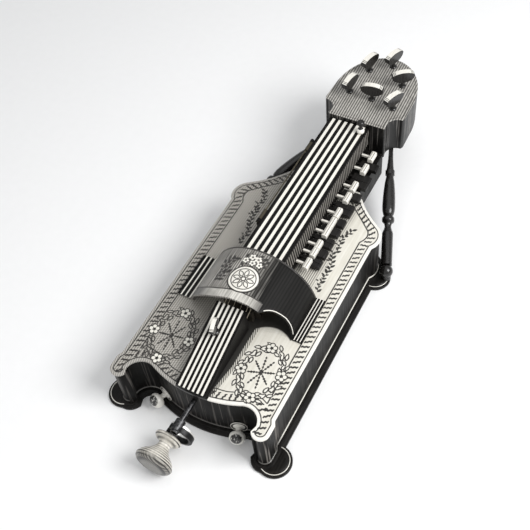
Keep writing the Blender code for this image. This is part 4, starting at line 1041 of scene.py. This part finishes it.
def keys():
    for name in sorted(n for n in nodes if n.startswith("key_")):
        raised = name.endswith("raised")
        body = name.replace("key_", "keypiece_")
        low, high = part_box(name)
        y, half = (low.y + high.y) / 2, (high.y - low.y) / 2
        shaft, head_in, top = (0.105, 0.050, 0.113) if raised else (0.0985, 0.0402, 0.1042)
        shape = block((low.x, y - SHAFT_HALF, shaft),
                      (head_in + 0.004, y + SHAFT_HALF, shaft + SHAFT_HEIGHT))
        for x in TANGENTS:
            block((x - TANGENT_HALF, y - TANGENT_HALF, shaft + 0.003),
                  (x + TANGENT_HALF, y + TANGENT_HALF, TANGENT_TOP), shape)
        side = [(head_in, low.z), (high.x, low.z), (high.x, top - 0.0020)]
        if raised:
            side += [(high.x - 0.0016, top), (head_in + 0.0012, top), (head_in, top - 0.0015)]
        else:
            side += [(high.x - 0.002, top), (head_in, top)]
        stand = Matrix.Translation((0, y, 0)) @ Matrix.Rotation(math.radians(90.0), 4, "X")
        prism(side, -half, half, shape, stand)
        finish, slot = (key_ivory, "ivory") if raised else (ebony, "ebony")
        rounded_edges(piece(name + "_dressed", shape, finish, slot, body, [name]), 0.0005)
        if raised:
            lines = bmesh.new()
            for x in (head_in + 0.0020, head_in + 0.0058):
                block((x, low.y + 0.0012, top - 0.0003),
                      (x + 0.0007, high.y - 0.0012, top + 0.00008), lines)
            piece(name + "_lines", lines, ink, "ebony", body)


keys()
print("keys", sum(name.startswith("key_") for name in nodes))


# %% [markdown]
# ## Wheel cover
# The cover is a thin board bent over the wheel, with a flat flange along each foot. Its
# front edge has an apron between two hollows. The surface is a grid: one direction goes
# round the arch, the other along the strings, and the first row of each column stands
# where the edge is. Solidify gives it its thickness.

# %% Wheel cover
ARCH_HALF, ARCH_RISE, COVER_SKIN, COVER_X = 0.082, 0.067, 0.003, 0.005
COVER_TAIL, COVER_HEAD, EDGE_DEPTH = -0.036, 0.044, 0.014
COVER_RADIUS = (ARCH_HALF ** 2 + ARCH_RISE ** 2) / (2 * ARCH_RISE)
COVER_FOOT = TABLE_TOP + 0.0003
COVER_CENTRE_Z = COVER_FOOT + ARCH_RISE - COVER_RADIUS
COVER_WIDEST = math.asin((COVER_FOOT - COVER_CENTRE_Z) / COVER_RADIUS)
EDGE_SHARES = ((0.0, 0.0), (0.03, -0.30), (0.055, -0.48), (0.10, -0.66), (0.15, -0.70),
               (0.20, -0.52), (0.245, -0.28), (0.28, 0.10), (0.31, 0.62), (0.325, 0.82),
               (0.40, 0.80), (0.50, 0.89), (0.53, 0.93), (0.63, 1.18), (0.72, 1.14),
               (0.82, 0.86), (0.91, 0.43), (1.0, 0.0))
EDGE_LINE = drawn(EDGE_SHARES)


def cover_front(across):
    """Y of the front edge at a share of the arch, from the right flange (0) to the left."""
    for a, b in zip(EDGE_LINE, EDGE_LINE[1:]):
        if across <= b.x:
            share = (across - a.x) / max(b.x - a.x, 1e-9)
            return COVER_TAIL - EDGE_DEPTH * (a.y + (b.y - a.y) * share)
    return COVER_TAIL


def cover_point(across, y, lift=0.0):
    """A point on the cover's outer face: `across` goes from the right flange to the left."""
    angle = COVER_WIDEST + (math.pi - 2 * COVER_WIDEST) * across
    radius = COVER_RADIUS + COVER_SKIN + lift
    return Vector((COVER_X + radius * math.cos(angle), y,
                   COVER_CENTRE_Z + radius * math.sin(angle)))


def cover_finish():
    """Grey-brown wood, painted dark towards the right as shade."""
    made, colour = wood("cover_wood", (0.14, 0.132, 0.12), (0.58, 0.56, 0.52), ALONG_Y,
                        roughness=0.46, coat=0.0, cloud=0.25, specular=0.15)
    x, _, _ = made.axes()
    wander = made.noise(ALONG_Y, 160.0)
    # Painted shade: the right part of the arch is painted near-black.
    shade = made.between(x + wander * 0.03, 0.030, 0.052)
    lines = made.hatch(x + wander * 0.002, 0.0038, 0.42)
    colour = made.blend(colour, (0.025, 0.023, 0.020), lines * 0.75)
    return finished(made, made.blend(colour, SOOT, shade * 0.98))


def wheel_cover():
    steps, rows = 96, 12
    shape = bmesh.new()

    def column(start, end, place):
        return [shape.verts.new(place(start + (end - start) * j / rows))
                for j in range(rows + 1)]

    right, left = ([column(COVER_TAIL, COVER_HEAD, lambda y: (x, y, COVER_FOOT)) for x in pair]
                   for pair in ((0.105, 0.0925), (-0.090, -0.105)))
    arch = [column(cover_front(i / steps), COVER_HEAD,
                   lambda y: cover_point(i / steps, y, -COVER_SKIN)) for i in range(steps + 1)]
    columns = right + arch + left
    for a, b in zip(columns, columns[1:]):
        for j in range(rows):
            shape.faces.new((a[j], b[j], b[j + 1], a[j + 1]))
    bmesh.ops.recalc_face_normals(shape, faces=shape.faces)
    if sum(f.normal.z for f in shape.faces) < 0:
        bmesh.ops.reverse_faces(shape, faces=shape.faces)
    made = piece("cover_board", shape, cover_finish(), "side_wood", "cover", ["wheel_cover"])
    board = made.modifiers.new("board", "SOLIDIFY")
    board.thickness, board.offset, board.use_even_offset = COVER_SKIN, 1.0, True
    rounded_edges(made, 0.0007, 50.0)


wheel_cover()
print("cover radius", round(COVER_RADIUS, 4))


# %% [markdown]
# ## Flange stringing
# Each flange has three ivory lines let into ebony. A thin striped board on the flange
# gives them, and keeps the bent board's own finish for the arch.

# %% Flange boards
def flange_boards():
    low, high = COVER_FOOT + 0.0028, COVER_FOOT + 0.0036
    for side, hand in SIDES:
        near, far = sorted((side * 0.0832 + COVER_X, side * 0.1048))
        finish = striped(f"flange_{hand}_wood", near, far - near, 3, high, share=0.30)
        piece(f"flange_board_{hand}", block((near, COVER_TAIL + 0.0002, low),
                                            (far, COVER_HEAD - 0.0002, high)),
              finish, "ebony", "cover")


flange_boards()
print("flange boards at", round(COVER_FOOT, 4))


# %% [markdown]
# ## Ornament by Geometry Nodes
# The border's wavy ticks, the wreaths' leaves and the sprays all repeat one small mark
# along a path. One tree does it: the path is resampled, the mark is set on each point,
# turned to the path and tilted to one side or the other in turn, then everything is
# realized. The result is turned into a plain mesh, because the export drops instances.

# %% The repeating tree
def marks_tree():
    """Path curve in, marks out. Named inputs set the mark, its spacing, tilt and size."""
    tree = bpy.data.node_groups.new("marks_on_path", "GeometryNodeTree")
    for label, kind in (("Path", "Geometry"), ("Mark", "Object"), ("Spacing", "Float"),
                        ("Tilt", "Float"), ("Least size", "Float"), ("Most size", "Float"),
                        ("Ink", "Material")):
        tree.interface.new_socket(label, in_out="INPUT", socket_type="NodeSocket" + kind)
    tree.interface.new_socket("Marks", in_out="OUTPUT", socket_type="NodeSocketGeometry")

    def add(kind, inputs, output=0, **settings):
        node = tree.nodes.new(kind)
        for label, setting in settings.items():
            setattr(node, label, setting)
        for key, item in inputs.items():
            if isinstance(item, bpy.types.NodeSocket):
                tree.links.new(item, node.inputs[key])
            else:
                node.inputs[key].default_value = item
        return node.outputs[output]

    given = tree.nodes.new("NodeGroupInput").outputs
    points = add("GeometryNodeResampleCurve", {"Curve": given["Path"],
                                               "Length": given["Spacing"]}, mode="LENGTH")
    mark = add("GeometryNodeObjectInfo", {"Object": given["Mark"]}, "Geometry")
    turn = add("FunctionNodeAxesToRotation", {0: (0.0, 0.0, 1.0),
                                              1: add("GeometryNodeInputTangent", {})},
               primary_axis="Z", secondary_axis="X")
    odd = add("ShaderNodeMath", {0: add("GeometryNodeInputIndex", {}), 1: 2.0},
              operation="MODULO")
    side = add("ShaderNodeMath", {0: odd, 1: 2.0, 2: -1.0}, operation="MULTIPLY_ADD")
    lean = add("ShaderNodeMath", {0: side, 1: given["Tilt"]}, operation="MULTIPLY")
    tilted = add("FunctionNodeRotateRotation", {0: turn,
                                                1: add("ShaderNodeCombineXYZ", {2: lean})},
                 rotation_space="LOCAL")
    size = add("FunctionNodeRandomValue", {2: given["Least size"], 3: given["Most size"],
                                           "Seed": 7}, 1, data_type="FLOAT")
    placed = add("GeometryNodeInstanceOnPoints", {"Points": points, "Instance": mark,
                                                  "Rotation": tilted, "Scale": size})
    real = add("GeometryNodeRealizeInstances", {0: placed})
    dyed = add("GeometryNodeSetMaterial", {"Geometry": real, "Material": given["Ink"]})
    tree.links.new(dyed, tree.nodes.new("NodeGroupOutput").inputs["Marks"])
    return tree


MARKS = marks_tree()
MARK_INPUTS = {item.name: item.identifier for item in MARKS.interface.items_tree
               if item.in_out == "INPUT"}
print("inputs", list(MARK_INPUTS))


# %% [markdown]
# ## Marks and lines on a surface
# Both helpers draw flat first. `place` then takes each point to the table or the cover.

# %% Marks and lines on a surface
def on_table(co):
    return Vector((co[0], co[1], TABLE_TOP + co[2]))


def marks(name, path, mark, spacing, tilt, sizes, closed=False, finish=ink, body="body",
          place=on_table, slot="ebony"):
    """Marks along a path of 2-D points, as one plain mesh piece."""
    curve = bpy.data.curves.new(name + "_path", "CURVE")
    curve.dimensions = "3D"
    line = curve.splines.new("POLY")
    line.points.add(len(path) - 1)
    for point, spot in zip(line.points, path):
        point.co = (*spot, 0.0, 1.0)
    line.use_cyclic_u = closed
    holder = bpy.data.objects.new(name + "_path", curve)
    bpy.context.scene.collection.objects.link(holder)
    step = holder.modifiers.new("marks", "NODES")
    step.node_group = MARKS
    for label, value in (("Mark", mark), ("Spacing", spacing), ("Tilt", math.radians(tilt)),
                         ("Least size", sizes[0]), ("Most size", sizes[1]), ("Ink", finish)):
        step[MARK_INPUTS[label]] = value
    graph = bpy.context.evaluated_depsgraph_get()
    mesh = bpy.data.meshes.new_from_object(holder.evaluated_get(graph))
    bpy.data.objects.remove(holder)
    shape = bmesh.new()
    shape.from_mesh(mesh)
    for vertex in shape.verts:
        vertex.co = place(vertex.co)
    bmesh.ops.recalc_face_normals(shape, faces=shape.faces)
    return piece(name, shape, finish, slot, body)


def thin_line(name, points, width, closed=False, body="body", place=on_table, finish=ink,
              height=0.00012):
    """A drawn line of constant width on a surface, as a closed flat ribbon."""
    shape, rows = bmesh.new(), []
    first, last = (points[-1], points[0]) if closed else (points[0], points[-1])
    for before, here, after in zip([first, *points], points, [*points[1:], last]):
        run = (after - before).normalized()
        side = Vector((-run.y, run.x)) * width / 2
        rows.append([shape.verts.new(place((*(here + side * k), h)))
                     for k, h in ((1, -0.0001), (-1, -0.0001), (-1, height), (1, height))])
    return piece(name, skin(shape, rows, closed), finish, "ebony", body)


# %% [markdown]
# ## The marks
# The border's tick is a pen stroke, thinner at its ends. The garland's leaf is the spray's
# leaf made broader, with a smaller light leaf to lay on it, which leaves a dark outline.
# These templates are taken away at the end.

# %% Templates
TICK = [(0.0042, -0.0052), (0.0008, -0.0040), (0.0014, -0.0014), (-0.0014, 0.0014),
        (-0.0008, 0.0040), (-0.0042, 0.0052)]
LEAF = [(0.0, 0.0), (0.0014, -0.0015), (0.0040, -0.0023), (0.0068, -0.0016), (0.0092, 0.0),
        (0.0068, 0.0016), (0.0040, 0.0023), (0.0014, 0.0015)]
TICK_WIDTH, TICK_ENDS = 0.0031, 0.55


def stroke(points):
    """The outline of a pen stroke along a short polyline."""
    line = drawn(points, 3, 80.0)
    left, right = [], []
    for i, here in enumerate(line):
        run = (line[min(i + 1, len(line) - 1)] - line[max(i - 1, 0)]).normalized()
        share = TICK_ENDS + (1 - TICK_ENDS) * math.sin(math.pi * i / (len(line) - 1))
        side = Vector((-run.y, run.x)) * TICK_WIDTH / 2 * share
        left.append(here + side)
        right.append(here - side)
    return right + left[::-1]


templates = tick, tail_tick, leaf, garland_leaf, garland_light = [
    as_object(name, prism(points, low, high)) for name, points, low, high in (
        ("tick", stroke(TICK), -0.0001, 0.00012),
        ("tail_tick", stroke([(-x, y) for x, y in TICK]), -0.0001, 0.00012),
        ("leaf", LEAF, -0.0001, 0.00012),
        ("garland_leaf", [(x * 1.40, y * 1.55) for x, y in LEAF], -0.0001, 0.00012),
        ("garland_light", [(0.0064 + (x - 0.0046) * 0.86, y * 0.70) for x, y in LEAF],
         0.0, 0.00022))]
print("templates", [made.name for made in templates])


# %% [markdown]
# ## The border
# Two fine lines hold the band of ticks that follows the table's edge. Inside the binding
# the outer line is the outline moved in. The inner line can't be, because moving the small
# horns in so far would turn them inside out, so it is drawn by its own points, which are
# in millimetres here.

# %% Border
BORDER = {"tail": {"line": ((26, -151), (44, -148.5), (56, -144), (66, -138.5), (80, -135.5),
                            (93, -136.5), (104, -141)),
                   "middle": ((27, -159.5), (45, -157.0), (60, -151), (70, -145.8), (82, -143),
                              (94, -145), (103, -151)),
                   "width": 0.0016, "straight": 1.0, "mark": tail_tick, "spacing": 0.0088,
                   "tilt": 8.0, "least": 0.85},
          "side": {"line": ((104, -141), (104, 168), (108, 176), (110, 185), (107, 194),
                            (99, 202), (84, 216), (66, 232), (52, 246), (36, 247)),
                   "middle": ((112, -185), (114.5, -176), (113, -162), (111.3, -148),
                              (111.3, 160), (114, 171), (117, 184), (112, 198), (103, 207),
                              (88, 221), (72, 237), (58, 254), (40, 255)),
                   "width": 0.0021, "straight": 0.05, "mark": tick, "spacing": 0.0092,
                   "tilt": 6.0, "least": 0.9}}


def mirror_x(points):
    return [Vector((-p.x, p.y)) for p in reversed(points)]


def border_path(part, kind):
    return drawn([(x / 1000, y / 1000) for x, y in part[kind]], longest=part["straight"])


def border():
    thin_line("border_edge", inset(body_line, BINDING), 0.0016, closed=True)
    for hand, flip in (("right", list), ("left", mirror_x)):
        for end, part in BORDER.items():
            thin_line(f"border_{end}_{hand}", flip(border_path(part, "line")), part["width"])
        for end, part in BORDER.items():
            marks(f"ticks_{end}_{hand}", flip(border_path(part, "middle")), part["mark"],
                  part["spacing"], part["tilt"], (part["least"], 1.0))


border()
print("border parts", list(BORDER))


# %% [markdown]
# ## Wreaths
# A wreath is drawn on the table on each side of the tailpiece: two rings of outlined
# leaves, flowers at four places on them and an eight-rayed star of small lozenges inside.

# %% Wreaths
WREATH_RADIUS, OVAL = 0.0362, Vector((0.80, 1.16))
RAY_SHARES = (1.0, 1.3, 1.6, 1.7, 1.2)


def on_oval(centre, angle, radius):
    return centre + Vector((OVAL.x * math.cos(angle), OVAL.y * math.sin(angle))) * radius


def leafy_ring(label, centre, radius, spacing, tilt, paper):
    """Outlined leaves round an oval: the dark leaf first, and a lighter one on it."""
    oval = [on_oval(centre, 2 * math.pi * i / 90, radius) for i in range(90)]
    for layer, mark, finish, slot in (("edge", garland_leaf, ink, "ebony"),
                                      ("light", garland_light, paper, "table_wood")):
        marks(f"wreath_{label}_{layer}", oval, mark, spacing, tilt, (0.9, 1.05), True, finish,
              slot=slot)


def wreath(label, centre, start, leaf_paper):
    centre = Vector(centre)
    leafy_ring(f"outer_{label}", centre, WREATH_RADIUS + 0.0030, 0.0082, 24.0, leaf_paper)
    leafy_ring(f"inner_{label}", centre, WREATH_RADIUS - 0.0036, 0.0076, 22.0, leaf_paper)
    blooms, petals, star = bmesh.new(), bmesh.new(), bmesh.new()
    for a in [math.radians(start + 90 * k) for k in range(4)]:
        spot = on_oval(centre, a, WREATH_RADIUS)
        for petal in flat_ring(Vector((0.0, 0.0)), 0.0050, 5):
            middle = spot + Matrix.Rotation(a, 2) @ petal
            prism(flat_ring(middle, 0.0044, 16), TABLE_TOP - 0.0001, TABLE_TOP + 0.00030, blooms)
            prism(flat_ring(middle, 0.0028, 16), TABLE_TOP + 0.0001, TABLE_TOP + 0.00042, petals)
        prism(flat_ring(spot, 0.0014, 16), TABLE_TOP, TABLE_TOP + 0.00050, blooms)
    for a in [math.radians(start + 45 * k + 5) for k in range(8)]:
        run = (on_oval(centre, a, 1.0) - centre).normalized() * 0.0030
        for j, share in enumerate(RAY_SHARES):
            spot = on_oval(centre, a, 0.0030 + 0.0046 * j)
            side = Vector((-run.y, run.x)).normalized() * 0.0013 * share
            prism([spot - run, spot - side, spot + run, spot + side], TABLE_TOP - 0.0001,
                  TABLE_TOP + 0.00014, star)
    for name, shape, finish, slot in (("blooms", blooms, ink, "ebony"),
                                      ("petals", petals, table_light, "table_wood"),
                                      ("star", star, ink, "ebony")):
        piece(f"wreath_{name}_{label}", shape, finish, slot)


wreath("right", (0.0735, -0.1015), 9.0, table_light)
wreath("left", (-0.0745, -0.1030), 2.0, table_wood)
print("wreaths", 2, "of radius", WREATH_RADIUS)


# %% [markdown]
# ## Sprays
# Loose sprays of leaves and buds run beside the keybox. Each is a wavy stem with the same
# leaf at uneven sizes, and smaller ones beside it for the buds.

# %% Sprays
def spray(label, start, end, sway, phase):
    start, run = Vector(start), Vector(end) - Vector(start)
    side = Vector((-run.y, run.x)).normalized()
    line = [start + run * t + side * sway * math.sin(2.2 * math.pi * t + phase)
            for t in [i / 24 for i in range(25)]]
    thin_line(f"spray_stem_{label}", line, 0.0009)
    marks(f"spray_leaves_{label}", line, leaf, 0.0040, 42.0, (0.6, 1.1))
    marks(f"spray_buds_{label}", [p + side * 0.0035 for p in line[4:-3]], leaf, 0.0070, 75.0,
          (0.5, 0.8))


SPRAYS = (("right_long", (0.0865, 0.056), (0.0770, 0.134), 0.0030, 0.4),
          ("right_upper", (0.0765, 0.136), (0.0815, 0.186), -0.0025, 1.0),
          ("left_long", (-0.066, 0.090), (-0.074, 0.160), 0.0030, 2.0),
          ("left_upper", (-0.074, 0.162), (-0.080, 0.205), 0.0030, 0.0))
for settings in SPRAYS:
    spray(*settings)
print("sprays", len(SPRAYS))


# %% [markdown]
# ## Ornament on the wheel cover
# The cover has lines along its edges, a round medallion near the top with a crest of
# blossoms above it, and foliage on its left. The medallion is a plain rosette. Points that
# are drawn flat, in metres from the arch's top, are bent onto the cover by `on_cover`.

# %% Cover ornament
ARCH_LENGTH = (math.pi - 2 * COVER_WIDEST) * (COVER_RADIUS + COVER_SKIN)
BAND_DEPTH, MEDALLION = 0.0148, Vector((-0.0015, -0.0115))
CREST = ((-0.0135, 0.0320, 0.0052), (-0.0060, 0.0400, 0.0056), (-0.0015, 0.0300, 0.0052),
         (0.0040, 0.0385, 0.0056), (0.0095, 0.0300, 0.0050))


def on_cover(co):
    """Flat x, y in metres from the arch's top become a point on the bent board."""
    return cover_point(0.5 - co[0] / ARCH_LENGTH, co[1], co[2])


def along_edge(start, end, count, back):
    """Points at a distance behind the front edge, between two shares of the arch."""
    spots = [start + (end - start) * i / count for i in range(count + 1)]
    return [Vector(((0.5 - across) * ARCH_LENGTH, cover_front(across) + back))
            for across in spots]


def cover_band():
    """A paler strip along the front edge, from the left foot to the apron's tip: its pale colour is
    a painted highlight on the lit front bevel, painted darker towards both ends as shade.
    """
    shape = bmesh.new()
    rows = [[shape.verts.new(on_cover((p.x, p.y + d, h)))
             for d, h in ((0.0004, -0.0004), (0.0145, -0.0004), (0.0145, 0.0002),
                          (0.0004, 0.0002))] for p in along_edge(0.325, 0.985, 96, 0.0)]
    # The strip's pale colour is a painted highlight on the lit front bevel.
    made, colour = wood("lit_bevel_strip", (0.20, 0.19, 0.17), (0.80, 0.78, 0.72), ALONG_Y,
                        roughness=0.4, coat=0.05)
    x, _, _ = made.axes()
    # Painted shade: the strip darkens towards both ends.
    ends = made.between(abs(x + 0.004), 0.030, 0.048)
    finish = finished(made, made.blend(colour, (0.060, 0.055, 0.050), ends * 0.9))
    piece("cover_band", skin(shape, rows), finish, "side_wood", "cover")


def raised_disc(shape, centre, radii, sides, low, high):
    """A low disc on the cover. Its inner rings let the top follow the arch."""
    rings = [(radii[0], low)] + [(radius, high) for radius in radii]
    skin(shape, [[shape.verts.new(on_cover((*p, height))) for p in flat_ring(centre, radius, sides)]
                 for radius, height in rings])


def medallion():
    """A plain rosette in an ivory disc, bent onto the arch."""
    disc = bmesh.new()
    raised_disc(disc, MEDALLION, (0.0230, 0.0170, 0.011, 0.006, 0.003), 48, -0.0004, 0.0005)
    piece("medallion", disc, ivory, "ivory", "cover")
    drawing = {name: (flat_ring(MEDALLION, radius, 40), width) for name, radius, width in
               (("rim", 0.0230, 0.0020), ("ring", 0.0180, 0.0013), ("eye", 0.0034, 0.0016))}
    for k in range(8):
        out = Vector((math.cos(math.pi * k / 4), math.sin(math.pi * k / 4)))
        side = Vector((-out.y, out.x))
        loop = [MEDALLION + out * a + side * b for a, b in
                ((0.0050, 0.0), (0.0105, 0.0030), (0.0160, 0.0), (0.0105, -0.0030))]
        drawing[f"petal_{k}"] = (soften(loop, 4, 170.0), 0.0012)
    for name, (line, width) in drawing.items():
        thin_line("medallion_" + name, line, width, True, "cover", on_cover, height=0.0008)


def crest():
    """Blossoms over the medallion, as on the wreaths, between two rows of leaves."""
    for row, rise in (("low", 0.0300), ("high", 0.0385)):
        line = [MEDALLION + Vector((x, rise + 0.003 * math.cos(x * 130)))
                for x in [-0.019 + 0.034 * i / 12 for i in range(13)]]
        marks("crest_leaves_" + row, line, leaf, 0.0030, 65.0, (0.8, 1.15), body="cover",
              place=on_cover)
    for label, share, low, high, finish, slot in (
            ("edges", 0.50, -0.0003, 0.0005, ink, "ebony"),
            ("petals", 0.36, 0.0, 0.0007, ivory, "ivory")):
        shape = bmesh.new()
        for x, y, size in CREST:
            for petal in flat_ring(MEDALLION + Vector((x, y)), size * 0.62, 5):
                raised_disc(shape, petal, (size * share,), 12, low, high)
        piece("crest_" + label, shape, finish, slot, "cover")


def cover_lines():
    for label, start, end, back, width, finish in (
            ("line", 0.33, 0.98, BAND_DEPTH, 0.0016, ink),
            # The ivory line along the right hollow is a painted highlight on the board's front
            # edge.
            ("bead", 0.03, 0.30, 0.0016, 0.0012, ivory)):
        thin_line("cover_edge_" + label, along_edge(start, end, 90, back), width, body="cover",
                  place=on_cover, finish=finish, height=0.0004)
    head = [Vector(((0.5 - 0.005 - 0.99 * i / 60) * ARCH_LENGTH, 0.0424)) for i in range(61)]
    thin_line("cover_head_line", head, 0.0026, body="cover", place=on_cover, height=0.0003)


def foliage():
    for label, shift in (("a", -0.004), ("b", 0.004)):
        line = [Vector((-0.045 + shift + 0.009 * t + 0.004 * math.sin(6 * t),
                        -0.021 + 0.041 * t)) for t in [i / 20 for i in range(21)]]
        marks("cover_foliage_" + label, line, leaf, 0.0036, 48.0, (0.8, 1.3), body="cover",
              place=on_cover)


cover_band()
cover_lines()
medallion()
crest()
foliage()
print("arch length", round(ARCH_LENGTH, 4))


# %% [markdown]
# ## Pegbox
# The head is a thick shield with rounded edges, hollow below, where the strings reach
# their pegs. Its outline comes from the CAD node as the table's did.

# %% Pegbox
HOLLOW_HALF = ((0.043, 0.374), (0.050, 0.394), (0.0555, 0.412), (0.057, 0.430),
               (0.055, 0.452), (0.047, 0.478), (0.033, 0.500), (0.015, 0.513))
HOLLOW_TIP, HEAD_TOP_BOARD = (0.0, 0.516), 0.010
STRING_WINDOW = ((-0.034, 0.356, 0.112), (0.034, 0.378, 0.128))


def pegbox():
    low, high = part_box("pegbox")
    outline = soften(outline_of("pegbox", high.z), 3, 34.0, 0.03)
    made = piece("head_shell", prism(outline, low.z, high.z), head_wood, "head_wood",
                 stands_for=["pegbox"])
    middle = (low.x + high.x) / 2
    half = [*HOLLOW_HALF, HOLLOW_TIP, *((-x, y) for x, y in reversed(HOLLOW_HALF))]
    cut(made, prism([(middle + x, y) for x, y in half], low.z - 0.004,
                    high.z - HEAD_TOP_BOARD))
    cut(made, block(*STRING_WINDOW))
    rounded_edges(made, 0.0010, 50.0)
    thin_line("head_edge_line", moved(outline, -0.0042), 0.0006, closed=True,
              place=lambda co: Vector((co[0], co[1], high.z + co[2])))


pegbox()


# %% [markdown]
# ## Lid knob
# The lid lifts by a small turned knob at its head end: a white ball under a black stem
# and cap.

# %% Lid knob
LID_KNOB_SHARES = ((0.0, 0.0), (0.0, 0.62), (0.06, 0.90), (0.15, 1.0), (0.27, 0.92),
                   (0.36, 0.62), (0.40, 0.34), (0.52, 0.27), (0.66, 0.27), (0.71, 0.45),
                   (0.74, 0.92), (0.82, 1.0), (0.90, 0.92), (0.97, 0.60), (1.0, 0.0))
LID_KNOB_RADIUS, LID_BALL = 0.0065, 0.0092


def lid_knob():
    low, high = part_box("lid_knob")
    foot = ((low.x + high.x) / 2, (low.y + high.y) / 2, low.z)
    made, colour = wood("lid_knob_wood", EBONY_DARK, EBONY_LIGHT, ALONG_Z, roughness=0.28)
    _, _, z = made.axes()
    finish = finished(made, made.blend(IVORY_WHITE, colour, z > low.z + LID_BALL))
    profile = scaled(LID_KNOB_SHARES, high.z - low.z, LID_KNOB_RADIUS)
    piece("turned_lid_knob", lathe(profile, foot, sides=40, steps=3, corner=60.0), finish,
          "ebony", "lid", ["lid_knob"])


lid_knob()


# %% [markdown]
# ## Floor
# The engraving has no ground, only white paper. A wide pale floor stands in for it and
# takes the instrument's soft shadow.

# %% Floor
def floor():
    shape = bmesh.new()
    bmesh.ops.create_grid(shape, x_segments=2, y_segments=2, size=6.0)
    ground = as_object("floor", shape)
    made = Finish("paper", 0.9)
    fibres = made.noise(EVENLY, 60.0)
    ground.data.materials.append(finished(made, made.blend((0.90, 0.90, 0.90),
                                                           (0.93, 0.93, 0.93), fibres)))


floor()

# %% [markdown]
# ## Finish
# The templates are taken away.

# %% Tidy up and finish
for made in templates:
    bpy.data.objects.remove(made)
